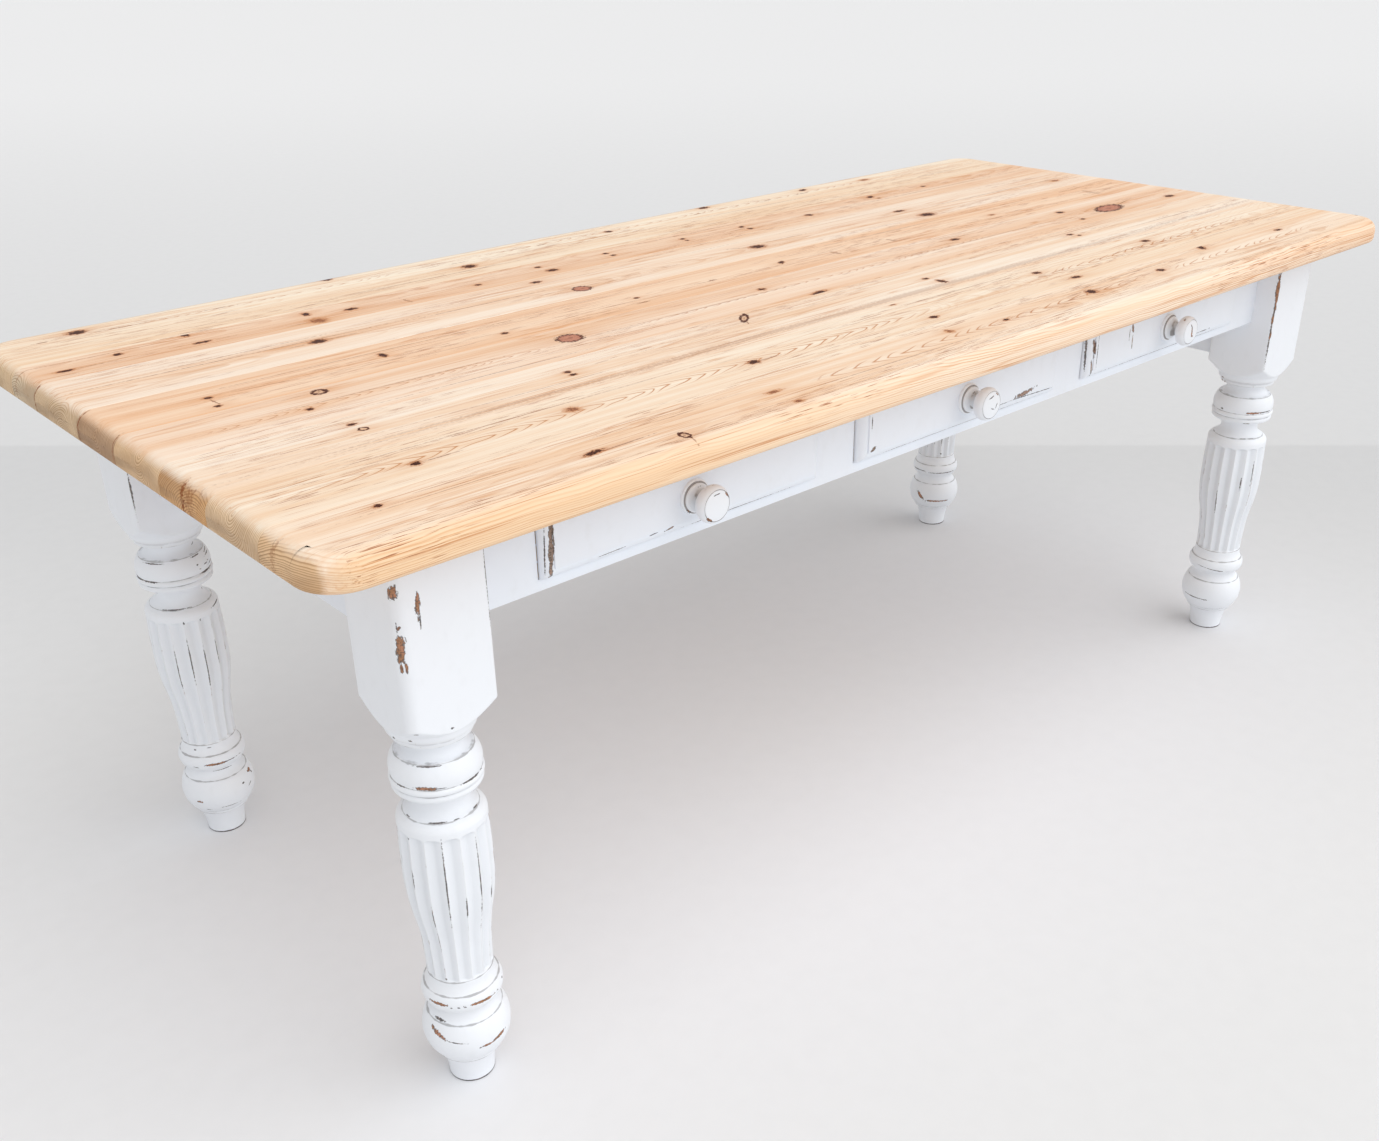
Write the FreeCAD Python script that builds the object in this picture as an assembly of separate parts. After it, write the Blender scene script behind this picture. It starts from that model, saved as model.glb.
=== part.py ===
"""Farmhouse kitchen table: glued pine board top, turned and fluted legs, three drawers.

Millimetres, +Z up, +X along the length, -Y towards the drawers.
The origin is on the floor under the middle of the table.
"""
import FreeCAD, Part
import math
import os

V = FreeCAD.Vector

# ---------------------------------------------------------------- driving sizes
table_length = 2050.0
table_width = 940.0
table_height = 780.0

top_thickness = 38.0
top_corner_radius = 50.0
top_upper_round = 20.0
top_lower_round = 8.0
board_seams = [-358.0, -245.0, -132.0, -14.0, 96.0, 232.0, 315.0]

leg_square = 108.0
leg_centre_x = 864.0
leg_centre_y = 348.0
leg_arris_round = 2.5
flute_count = 16

apron_thickness = 22.0
front_setback = 39.0
end_setback = 74.0
end_apron_thickness = 24.0
back_apron_bottom = 616.0
end_apron_bottom = 545.0

rail_depth = 60.0
lower_rail_height = 14.0
lower_rail_shoulder = 2.0
upper_rail_shoulder = 6.0
tenon_length = 25.0
apron_tenon_shoulder = 5.0
apron_tenon_haunch = 15.0
rail_tenon_width = 33.0
stub_length = 8.0
stile_stub_inset = (12.0, 7.0)
bearer_stub_inset = (10.0, 4.0)

drawer_pitch = 506.0
opening_width = 432.0
opening_bottom = 630.0
opening_top = 714.0

drawer_side_gap = 1.5
drawer_rise = 0.5
drawer_top_gap = 0.5
front_thickness = 26.0
front_proud = 14.0
moulding_width = 13.0
moulding_step = 2.0
moulding_depth = 11.0
waste = 2.0
drawer_length = 400.0
drawer_wall = 12.0
drawer_side_height = 81.0
drawer_back_height = 60.0
bottom_thickness = 6.0
bottom_lift = 8.5
groove_depth = 6.0
lap_depth = 11.0
front_tail_count = 4
rear_tail_count = 3
tail_root_share = 0.68
tail_tip_share = 0.88

bearer_width = 46.0
bearer_lap = 20.0
guide_height = 20.0
guide_gap = 1.0
stop_size = 20.0
stop_height = 15.0
stop_gap = 0.5

button_length = 32.0
button_width = 26.0
button_thickness = 17.5
button_tongue = 9.0
tongue_height = 6.0
groove_drop = 11.0
groove_height = 7.0
fit_gap = 0.5
button_gap = 1.0

back_button_places = [-640.0, -400.0, -130.0, 130.0, 400.0, 640.0]
end_button_places = [-190.0, 0.0, 190.0]
rail_screw_places = [-765.0, -253.0, 253.0, 765.0]
screw_radius = 2.2
screw_point = 4.0
screw_into_top = 20.0
button_screw_reach = 17.0
rail_screw_reach = 40.0
knob_screw_length = 44.0

# ---------------------------------------------------------------- worked out from them
top_underside = table_height - top_thickness
half_length = table_length / 2
half_width = table_width / 2
half_leg = leg_square / 2
leg_inner_x = leg_centre_x - half_leg
leg_inner_y = leg_centre_y - half_leg
apron_face = leg_centre_y + half_leg - front_setback
apron_back = apron_face - apron_thickness
rail_back = apron_face - rail_depth
end_face = leg_centre_x + half_leg - end_setback
end_inner = end_face - end_apron_thickness
rail_bottom = opening_bottom - lower_rail_height
drawer_centres = [-drawer_pitch, 0.0, drawer_pitch]
half_opening = opening_width / 2
half_drawer = half_opening - drawer_side_gap
front_plane = -(apron_face + front_proud)
front_back = front_plane + front_thickness
drawer_floor = opening_bottom + drawer_rise
drawer_end = front_back + drawer_length
knob_height = (opening_bottom + opening_top) / 2 - 1.0
mirrors = [("left", -1), ("right", 1)]


# ---------------------------------------------------------------- helpers
def block(x0, x1, y0, y1, z0, z1):
    """Box between two corners, given in any order."""
    low = V(min(x0, x1), min(y0, y1), min(z0, z1))
    return Part.makeBox(abs(x1 - x0), abs(y1 - y0), abs(z1 - z0), low)


def joined(shapes):
    """One solid from pieces that touch or overlap."""
    whole = shapes[0].multiFuse(shapes[1:]).removeSplitter()
    return whole.Solids[0]


def outline(start, steps, place):
    """Edges through a run of points: a 2-tuple is a line, a 4-tuple an arc through its first pair."""
    edges = []
    at = start
    for step in steps:
        end = step[-2:]
        if len(step) == 2:
            edges.append(Part.LineSegment(place(*at), place(*end)).toShape())
        else:
            edges.append(Part.Arc(place(*at), place(*step[:2]), place(*end)).toShape())
        at = end
    return edges


def turned(start, steps, place, centre, axis):
    """Solid of revolution from an outline of (radius, height) points that starts on the axis."""
    edges = outline(start, steps, place)
    face = Part.Face(Part.Wire(edges))
    return face.revolve(centre, axis, 360)


def prism(points, direction):
    """Straight-sided solid from a closed polygon and an extrusion vector."""
    face = Part.Face(Part.makePolygon(points + points[:1]))
    return face.extrude(direction)


def save(name, shape):
    """One STEP file for each piece of the table."""
    solids = shape.Solids
    part = solids[0] if len(solids) == 1 else Part.makeCompound(solids)
    part.exportStep(os.path.join("parts", name + ".step"))


# ---------------------------------------------------------------- top
def whole_top():
    """The planed top: round in plan at its corners, a big round above and a small one below."""
    slab = block(-half_length, half_length, -half_width, half_width, top_underside, table_height)
    uprights = [e for e in slab.Edges if abs(e.Vertexes[0].Z - e.Vertexes[1].Z) > 1]
    slab = slab.makeFillet(top_corner_radius, uprights)
    upper = [e for e in slab.Edges if min(v.Z for v in e.Vertexes) > table_height - 0.01]
    slab = slab.makeFillet(top_upper_round, upper)
    lower = [e for e in slab.Edges if max(v.Z for v in e.Vertexes) < top_underside + 0.01]
    return slab.makeFillet(top_lower_round, lower)


def make_boards(screw_group):
    """Eight boards of different widths, glued edge to edge, with pilot holes for the screws below."""
    slab = whole_top()
    seams = [-half_width] + board_seams + [half_width]
    for number, (y0, y1) in enumerate(zip(seams[:-1], seams[1:]), start=1):
        strip = block(-half_length, half_length, y0, y1, top_underside, table_height)
        board = slab.common(strip)
        near = [s for s in screw_group.Solids if y0 < s.CenterOfMass.y < y1]
        if near:
            board = board.cut(Part.makeCompound(near))
        save("top_board_%d" % number, board)


# ---------------------------------------------------------------- legs
# Turned outline of the leg as (radius, height), from the floor up.
foot = [(28.0, 0.0), (30.2, 23.0, 36.0, 43.0)]
lower_ball = [(40.0, 43.5), (40.0, 48.5), (43.0, 49.5), (53.5, 77.0, 46.5, 105.0), (44.5, 106.5)]
lower_neck = [(38.5, 114.0, 40.0, 124.0), (43.5, 125.5)]
ankle_ring = [(48.8, 137.0, 45.5, 149.5), (43.5, 150.5)]
ankle_cove = [(40.5, 158.0, 41.0, 168.0)]
shoulder_cap = [(51.3, 381.0), (51.3, 387.0), (49.0, 392.5, 43.5, 396.5)]
upper_neck = [(42.0, 398.0), (31.5, 411.0, 44.0, 427.5)]
double_bead = [(48.5, 428.5), (51.5, 433.0, 49.5, 437.5), (52.8, 441.8, 50.3, 446.2)]
upper_ball = [(51.8, 455.0, 45.0, 474.0), (43.5, 475.5)]
collar_neck = [(32.5, 484.0, 43.5, 495.5)]
collar_steps = [(45.5, 496.5), (45.5, 503.0), (50.0, 505.0), (52.8, 516.0)]

fluted_bottom = 168.0
fluted_top = 381.0
core_radius = 33.0
core_reach = 4.0
# Ridge radius of the fluted vase, from the ankle up.
vase_sections = [
    (168.0, 39.4),
    (196.0, 40.4),
    (222.0, 42.0),
    (242.0, 44.6),
    (262.0, 48.4),
    (285.0, 51.4),
    (325.0, 52.6),
    (381.0, 51.2),
]
flute_depth_share = 0.085
pommel_bottom = (52.8, 514.0)
pommel_top = (78.0, 538.0)


def turned_below():
    """Foot, ball and ankle of the leg."""
    steps = foot + lower_ball + lower_neck + ankle_ring + ankle_cove
    steps = steps + [(0.0, fluted_bottom), (0.0, 0.0)]
    return turned((0.0, 0.0), steps, lambda r, z: V(r, 0, z), V(0, 0, 0), V(0, 0, 1))


def turned_above():
    """Shoulder, neck, ball and collar between the fluted vase and the square."""
    steps = shoulder_cap + upper_neck + double_bead + upper_ball + collar_neck + collar_steps
    top = collar_steps[-1][1]
    steps = steps + [(0.0, top), (0.0, fluted_top)]
    return turned((0.0, fluted_top), steps, lambda r, z: V(r, 0, z), V(0, 0, 0), V(0, 0, 1))


def fluted_ring(height, ridge_radius):
    """Closed wire that goes in and out between sharp ridges and the bottoms of the V-cut flutes."""
    half_turn = math.pi / flute_count
    corners = []
    for k in range(2 * flute_count):
        radius = ridge_radius * (1 - flute_depth_share * (k % 2))
        corners.append(V(radius * math.cos(k * half_turn), radius * math.sin(k * half_turn), height))
    return Part.makePolygon(corners + corners[:1])


def fluted_vase():
    """Vase lofted through the fluted rings, on a plain core that ties it to the turnings."""
    rings = [fluted_ring(z, r) for z, r in vase_sections]
    vase = Part.makeLoft(rings, True, True)
    height = fluted_top - fluted_bottom + 2 * core_reach
    core = Part.makeCylinder(core_radius, height, V(0, 0, fluted_bottom - core_reach))
    return [vase, core]


def square_block():
    """Square of the leg with eased arrises, its lower corners turned off to a pommel."""
    square = block(-half_leg, half_leg, -half_leg, half_leg, pommel_bottom[1], top_underside)
    arrises = [e for e in square.Edges if abs(e.Vertexes[0].Z - e.Vertexes[1].Z) > 1]
    square = square.makeFillet(leg_arris_round, arrises)
    reach = pommel_top[0]
    steps = [pommel_bottom, pommel_top, (reach, top_underside), (0.0, top_underside)]
    steps.append((0.0, pommel_bottom[1]))
    start = (0.0, pommel_bottom[1])
    turning = turned(start, steps, lambda r, z: V(r, 0, z), V(0, 0, 0), V(0, 0, 1))
    return square.common(turning)


def make_legs(tenons):
    """Four identical legs, each mortised for the tenons that enter it."""
    leg = joined([turned_below(), turned_above(), square_block()] + fluted_vase())
    for row, side_y in (("front", -1), ("back", 1)):
        for column, side_x in mirrors:
            placed = leg.copy()
            placed.translate(V(side_x * leg_centre_x, side_y * leg_centre_y, 0))
            save("leg_%s_%s" % (row, column), placed.cut(tenons))


# ---------------------------------------------------------------- aprons, rails and stiles
def grooved_apron(x0, x1, y0, y1, bottom, groove):
    """Apron board with a groove for the buttons along the top of its inner face."""
    board = block(x0, x1, y0, y1, bottom, top_underside)
    return board.cut(groove)


def button_groove(x0, x1, y0, y1):
    """Room for the groove that the buttons' tongues sit in."""
    top = top_underside - groove_drop
    return block(x0, x1, y0, y1, top - groove_height, top)


def end_apron(side):
    """Deep board between a front and a back leg, tenoned into both."""
    groove_back = end_inner + button_tongue + button_gap
    groove = button_groove(side * end_inner, side * groove_back, -leg_inner_y, leg_inner_y)
    board = grooved_apron(side * end_inner, side * end_face, -leg_inner_y, leg_inner_y,
                          end_apron_bottom, groove)
    reach = leg_inner_y + tenon_length
    tenon = block(side * (end_inner + apron_tenon_shoulder), side * (end_face - apron_tenon_shoulder),
                  -reach, reach,
                  end_apron_bottom + apron_tenon_haunch, top_underside - apron_tenon_haunch)
    return joined([board, tenon.cut(groove)])


def back_apron():
    """Board between the back legs, tenoned into both."""
    groove = button_groove(-leg_inner_x, leg_inner_x, apron_back, apron_back + button_tongue + button_gap)
    board = grooved_apron(-leg_inner_x, leg_inner_x, apron_back, apron_face, back_apron_bottom, groove)
    reach = leg_inner_x + tenon_length
    tenon = block(-reach, reach, apron_back + apron_tenon_shoulder, apron_face - apron_tenon_shoulder,
                  back_apron_bottom + apron_tenon_haunch, top_underside - apron_tenon_haunch)
    return joined([board, tenon.cut(groove)])


def drawer_rail(z0, z1, shoulder):
    """Rail laid flat across the front, above or below the drawers."""
    rail = block(-leg_inner_x, leg_inner_x, -apron_face, -rail_back, z0, z1)
    reach = leg_inner_x + tenon_length
    tenon_front = -apron_face + apron_tenon_shoulder
    tenon = block(-reach, reach, tenon_front, tenon_front + rail_tenon_width, z0 + shoulder, z1 - shoulder)
    return joined([rail, tenon])


def stile_spans():
    """Where the upright stiles stand: beside the legs and between the drawers."""
    edges = [-leg_inner_x]
    for centre in drawer_centres:
        edges += [centre - half_opening, centre + half_opening]
    edges.append(leg_inner_x)
    return list(zip(edges[0::2], edges[1::2]))


def stile(x0, x1):
    """Upright between the rails with a stub tenon at each end."""
    body = block(x0, x1, -apron_face, -apron_back, opening_bottom, opening_top)
    side, face = stile_stub_inset
    stub = block(x0 + side, x1 - side, -apron_face + face, -apron_back - face,
                 opening_bottom - stub_length, opening_top + stub_length)
    return joined([body, stub])


# ---------------------------------------------------------------- what the drawers run on
def bearer_spans():
    """Widths of the runners and kickers: each reaches a little under the drawers beside it."""
    stiles = stile_spans()
    left = stiles[0][1] + bearer_lap
    right = stiles[-1][0] - bearer_lap
    spans = [(x0 - bearer_lap, x1 + bearer_lap) for x0, x1 in stiles[1:-1]]
    return [(left - bearer_width, left)] + spans + [(right, right + bearer_width)]


def bearer(x0, x1, z0, z1):
    """Bar from the front rail to the back apron, stub tenoned into both."""
    body = block(x0, x1, -rail_back, apron_back, z0, z1)
    side, face = bearer_stub_inset
    stub = block(x0 + side, x1 - side, -rail_back - stub_length, apron_back + stub_length,
                 z0 + face, z1 - face)
    return joined([body, stub])


def guide_spans():
    """Widths of the guides: each fills the room between drawers, or beside the last one."""
    reach = half_drawer + guide_gap
    edges = [bearer_spans()[0][0]]
    for centre in drawer_centres:
        edges += [centre - reach, centre + reach]
    edges.append(bearer_spans()[-1][1])
    return list(zip(edges[0::2], edges[1::2]))


def guide(x0, x1):
    """Strip on a runner that keeps the drawers beside it straight."""
    return block(x0, x1, -apron_back, apron_back, opening_bottom, opening_bottom + guide_height)


def drawer_stops():
    """Small blocks on the runners behind the drawer sides."""
    blocks = []
    near = drawer_end + stop_gap
    for centre in drawer_centres:
        for _, side in mirrors:
            outer = centre + side * (half_drawer - stop_gap)
            blocks.append(block(outer, outer - side * stop_size, near, near + stop_size,
                                opening_bottom, opening_bottom + stop_height))
    return Part.makeCompound(blocks)


# ---------------------------------------------------------------- what holds the top
def button_places():
    """Buttons along the back apron and the end aprons: a point on the inner face, and its normal."""
    places = [(x, apron_back, 0, -1) for x in back_button_places]
    for _, side in mirrors:
        places += [(side * end_inner, y, -side, 0) for y in end_button_places]
    return places


def button(x, y, nx, ny):
    """Wooden button whose tongue sits in the apron's groove."""
    half = button_width / 2
    low = top_underside - button_thickness
    body = block(button_gap, button_gap + button_length, -half, half, low, top_underside)
    tongue = block(-button_tongue, button_gap, -half, half, low, low + tongue_height)
    shape = joined([body, tongue])
    shape.rotate(V(0, 0, 0), V(0, 0, 1), math.degrees(math.atan2(ny, nx)))
    shape.translate(V(x, y, 0))
    return shape


def wood_screw(base, direction, length):
    """Countersunk screw from the middle of its head towards its point."""
    head = screw_radius * 2
    steps = [
        (head, 0.0),
        (screw_radius, head - screw_radius),
        (screw_radius, length - screw_point),
        (0.0, length),
        (0.0, 0.0),
    ]
    side = direction.cross(V(1, 0, 0))
    return turned((0.0, 0.0), steps, lambda r, z: base + side * r + direction * z, base, direction)


def top_screws():
    """Screws through the buttons and through the upper drawer rail into the top."""
    up = V(0, 0, 1)
    screws = []
    for x, y, nx, ny in button_places():
        base = V(x + nx * button_screw_reach, y + ny * button_screw_reach, top_underside - button_thickness)
        screws.append(wood_screw(base, up, button_thickness + screw_into_top))
    for x in rail_screw_places:
        base = V(x, -apron_face + rail_screw_reach, opening_top)
        screws.append(wood_screw(base, up, top_underside - opening_top + screw_into_top))
    return Part.makeCompound(screws)


# ---------------------------------------------------------------- drawers
def dovetails(y_base, y_tip, z0, z1, count, x0, x1):
    """Tails of a dovetail joint: wedges that are widest at their tips."""
    pitch = (z1 - z0) / count
    narrow = pitch * tail_root_share / 2
    wide = pitch * tail_tip_share / 2
    tails = []
    for k in range(count):
        middle = z0 + (k + 0.5) * pitch
        points = [
            V(x0, y_base, middle - narrow),
            V(x0, y_base, middle + narrow),
            V(x0, y_tip, middle + wide),
            V(x0, y_tip, middle - wide),
        ]
        tails.append(prism(points, V(x1 - x0, 0, 0)))
    return tails


def bottom_panel(centre, slack):
    """Thin bottom that slides into the grooves from behind, or with slack the groove itself."""
    depth = groove_depth - fit_gap + slack
    reach = half_drawer - drawer_wall + depth
    low = drawer_floor + bottom_lift
    return block(centre - reach, centre + reach, front_back - depth, drawer_end,
                 low, low + bottom_thickness)


def drawer_side(centre, side):
    """Side board: half-blind tails into the front, through tails into the back."""
    outer = centre + side * half_drawer
    inner = outer - side * drawer_wall
    top = drawer_floor + drawer_side_height
    low = drawer_floor + bottom_lift + bottom_thickness
    back = drawer_end - drawer_wall
    board = block(outer, inner, front_back, back, drawer_floor, top)
    heel = block(outer, inner, back, drawer_end, drawer_floor, low)
    front_tails = dovetails(front_back, front_back - lap_depth, drawer_floor, top,
                            front_tail_count, outer, inner)
    rear_tails = dovetails(back, drawer_end, low, low + drawer_back_height,
                           rear_tail_count, outer, inner)
    whole = joined([board, heel] + front_tails + rear_tails)
    return whole.cut(bottom_panel(centre, fit_gap))


def thumbnail_cutter(half_run):
    """Waste outside the moulded edge of a drawer front, along one edge centred on the origin.

    The edge lies on the X axis, the front face in the plane y = 0 and the board towards +Y and +Z.
    """
    rise = moulding_depth - moulding_step
    steps = [
        (moulding_width, -waste),
        (moulding_width, moulding_step),
        (moulding_width * 0.3, moulding_step + rise * 0.3, 0.0, moulding_depth),
        (-waste, moulding_depth),
        (-waste, -waste),
    ]
    edges = outline((-waste, -waste), steps, lambda inward, y: V(-half_run, y, inward))
    return Part.Face(Part.Wire(edges)).extrude(V(2 * half_run, 0, 0))


def drawer_front(centre, sides, screw):
    """Front board with a thumbnail moulding on all four edges, socketed for the sides."""
    low = drawer_floor
    top = opening_top - drawer_top_gap
    half_height = (top - low) / 2
    board = block(centre - half_drawer, centre + half_drawer, front_plane, front_back, low, top)
    edges = [
        (0, half_height, half_drawer),
        (180, half_height, half_drawer),
        (90, half_drawer, half_height),
        (270, half_drawer, half_height),
    ]
    for turn, reach, run in edges:
        cutter = thumbnail_cutter(run + waste)
        cutter.translate(V(0, 0, -reach))
        cutter.rotate(V(0, 0, 0), V(0, 1, 0), turn)
        cutter.translate(V(centre, front_plane, low + half_height))
        board = board.cut(cutter)
    return board.cut(Part.makeCompound(sides + [bottom_panel(centre, fit_gap), screw]))


def drawer_back(centre, sides):
    """Low back board over the bottom, pinned between the tails of the sides."""
    low = drawer_floor + bottom_lift + bottom_thickness
    board = block(centre - half_drawer, centre + half_drawer, drawer_end - drawer_wall, drawer_end,
                  low, low + drawer_back_height)
    return board.cut(Part.makeCompound(sides))


# Turned outline of a knob as (radius, height above the drawer front).
knob_outline = [
    (21.5, 0.0),
    (21.5, 3.0),
    (19.6, 4.6),
    (17.8, 5.0),
    (17.8, 7.6),
    (15.8, 9.2),
    (10.6, 16.0, 14.5, 22.0),
    (20.8, 25.5),
    (23.0, 32.0, 20.8, 39.0),
    (19.6, 40.4),
    (19.1, 39.4),
    (18.5, 40.6),
    (10.0, 42.2),
    (0.0, 42.8),
]


def knob(centre):
    """Turned knob: stepped rose, cove neck, mushroom head with a ring cut in its face."""
    steps = knob_outline + [(0.0, 0.0)]
    base = V(centre, front_plane, knob_height)
    return turned((0.0, 0.0), steps, lambda r, out: base + V(r, -out, 0), base, V(0, 1, 0))


def knob_screw(centre):
    """Screw from inside the drawer, through the front and into the knob."""
    return wood_screw(V(centre, front_back, knob_height), V(0, -1, 0), knob_screw_length)


def make_drawer(number, centre):
    """All pieces of one drawer."""
    name = "drawer_%d_" % number
    sides = [drawer_side(centre, side) for _, side in mirrors]
    screw = knob_screw(centre)
    save(name + "front", drawer_front(centre, sides, screw))
    for (word, _), side in zip(mirrors, sides):
        save(name + "side_" + word, side)
    save(name + "back", drawer_back(centre, sides))
    save(name + "bottom", bottom_panel(centre, 0.0))
    save(name + "knob", knob(centre).cut(screw))
    save(name + "knob_screw", screw)


# ---------------------------------------------------------------- the whole table
def main():
    os.makedirs("parts", exist_ok=True)
    screws = top_screws()
    make_boards(screws)
    save("top_screws", screws)
    buttons = Part.makeCompound([button(*place) for place in button_places()])
    save("top_buttons", buttons.cut(screws))

    stiles = [stile(*span) for span in stile_spans()]
    runners = [bearer(x0, x1, rail_bottom, opening_bottom) for x0, x1 in bearer_spans()]
    kickers = [bearer(x0, x1, opening_top, top_underside) for x0, x1 in bearer_spans()]
    bearers = Part.makeCompound(runners + kickers)
    uprights = Part.makeCompound(stiles)

    lower_rail = drawer_rail(rail_bottom, opening_bottom, lower_rail_shoulder)
    upper_rail = drawer_rail(opening_top, top_underside, upper_rail_shoulder)
    back = back_apron()
    ends = [end_apron(side) for _, side in mirrors]
    make_legs(Part.makeCompound([lower_rail, upper_rail, back] + ends))
    save("front_rail_lower", lower_rail.cut(uprights).cut(bearers))
    save("front_rail_upper", upper_rail.cut(uprights).cut(bearers).cut(screws))
    save("apron_back", back.cut(bearers))
    for (word, _), apron in zip(mirrors, ends):
        save("apron_" + word, apron)

    guides = [guide(*span) for span in guide_spans()]
    for number in range(len(stiles)):
        tag = "_%d" % (number + 1)
        save("front_stile" + tag, stiles[number])
        save("drawer_runner" + tag, runners[number])
        save("drawer_kicker" + tag, kickers[number])
        save("drawer_guide" + tag, guides[number])
    save("drawer_stops", drawer_stops())

    for number, centre in enumerate(drawer_centres, start=1):
        make_drawer(number, centre)


main()
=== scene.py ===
import math
from functools import reduce

import bpy
import numpy as np
from mathutils import Matrix, Vector


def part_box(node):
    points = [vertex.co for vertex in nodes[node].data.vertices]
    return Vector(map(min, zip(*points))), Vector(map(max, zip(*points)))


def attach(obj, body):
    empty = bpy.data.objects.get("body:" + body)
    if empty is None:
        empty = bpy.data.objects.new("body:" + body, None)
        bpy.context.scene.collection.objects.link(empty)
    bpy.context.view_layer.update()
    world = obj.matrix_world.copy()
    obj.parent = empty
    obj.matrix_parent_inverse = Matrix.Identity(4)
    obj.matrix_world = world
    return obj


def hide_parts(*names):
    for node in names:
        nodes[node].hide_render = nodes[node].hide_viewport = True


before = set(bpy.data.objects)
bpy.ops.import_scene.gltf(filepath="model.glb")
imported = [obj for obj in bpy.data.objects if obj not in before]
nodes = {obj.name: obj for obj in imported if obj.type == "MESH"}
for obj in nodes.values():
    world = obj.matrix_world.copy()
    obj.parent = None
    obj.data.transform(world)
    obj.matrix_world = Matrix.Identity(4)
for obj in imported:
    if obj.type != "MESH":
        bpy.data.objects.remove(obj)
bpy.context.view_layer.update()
mm = 0.001
print("frame loaded:", len(nodes), "nodes")

# what sets the view and the light
studio = {
    "imageSize": (1379, 1141),
    "sensorWidth": 36.0,
    "focalPixels": 1379.4,
    "viewCentre": (699.5, 614.3),     # pixel that the camera's axis goes through
    "cameraPlace": (-1.4877, -1.4937, 1.2892),
    "headingDegrees": 41.493,         # from +Y towards +X
    "downDegrees": 27.478,
    "rollDegrees": 0.871,
    "lampFrom": (0.30, -0.85, 1.05),  # towards the lamp
    "lampStrength": 1.56,
    "lampAngle": 80.0,                # a wide lamp throws soft shadows
    "worldStrength": 0.68,
    "backdropTone": 0.81,
    "floorHalf": 60.0,
    "floorNear": (-0.7, 1.31, 0.81, 0.64),  # how far ahead the tone starts and ends to change, and both tones
    "floorFar": (0.5, 10.0, 0.69, 0.80),
    "footDegrees": 43.9,              # which way the line lies where near floor turns into far floor
    "footLine": (1.325, 1.349),       # how far out it starts and ends
    "paintedLightReach": (0.25, 1.25),       # painted light: the floor is paler and cooler under the table, to lift the table's shadow and cancel the wood's warm bounce
    "paintedLightLift": 0.10,
}


def putIn(name, data):
    thing = bpy.data.objects.new(name, data)
    bpy.context.scene.collection.objects.link(thing)
    return thing


def makeCamera():
    width, height = studio["imageSize"]
    heading, down, roll = (math.radians(studio[k]) for k in ("headingDegrees", "downDegrees", "rollDegrees"))
    level = Vector((math.cos(heading), -math.sin(heading), 0.0))
    forward = math.cos(down) * Vector((math.sin(heading), math.cos(heading), 0.0))
    forward.z = -math.sin(down)
    below = forward.cross(level)
    right = math.cos(roll) * level + math.sin(roll) * below
    up = math.sin(roll) * level - math.cos(roll) * below
    data = bpy.data.cameras.new("camera")
    data.sensor_width = studio["sensorWidth"]
    data.lens = studio["sensorWidth"] * studio["focalPixels"] / width
    centreX, centreY = studio["viewCentre"]
    data.shift_x = (width / 2 - centreX) / width
    data.shift_y = (centreY - height / 2) / width
    camera = putIn("camera", data)
    turn = Matrix((right, up, -forward)).transposed().to_4x4()
    camera.matrix_world = Matrix.Translation(studio["cameraPlace"]) @ turn
    bpy.context.scene.camera = camera


def makeLamp():
    data = bpy.data.lights.new("softLamp", "SUN")
    data.energy = studio["lampStrength"]
    data.angle = math.radians(studio["lampAngle"])
    putIn("softLamp", data).rotation_euler = Vector(studio["lampFrom"]).to_track_quat("Z", "Y").to_euler()


# a number or colour in a shader: sums and products of it add the nodes that work them out
class Value:
    def __init__(self, shade, socket):
        self.shade, self.socket = shade, socket

    def __add__(self, other):
        return self.shade.math("ADD", self, other)

    def __sub__(self, other):
        return self.shade.math("SUBTRACT", self, other)

    def __rsub__(self, other):
        return self.shade.math("SUBTRACT", other, self)

    def __mul__(self, other):
        return self.shade.math("MULTIPLY", self, other)


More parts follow.
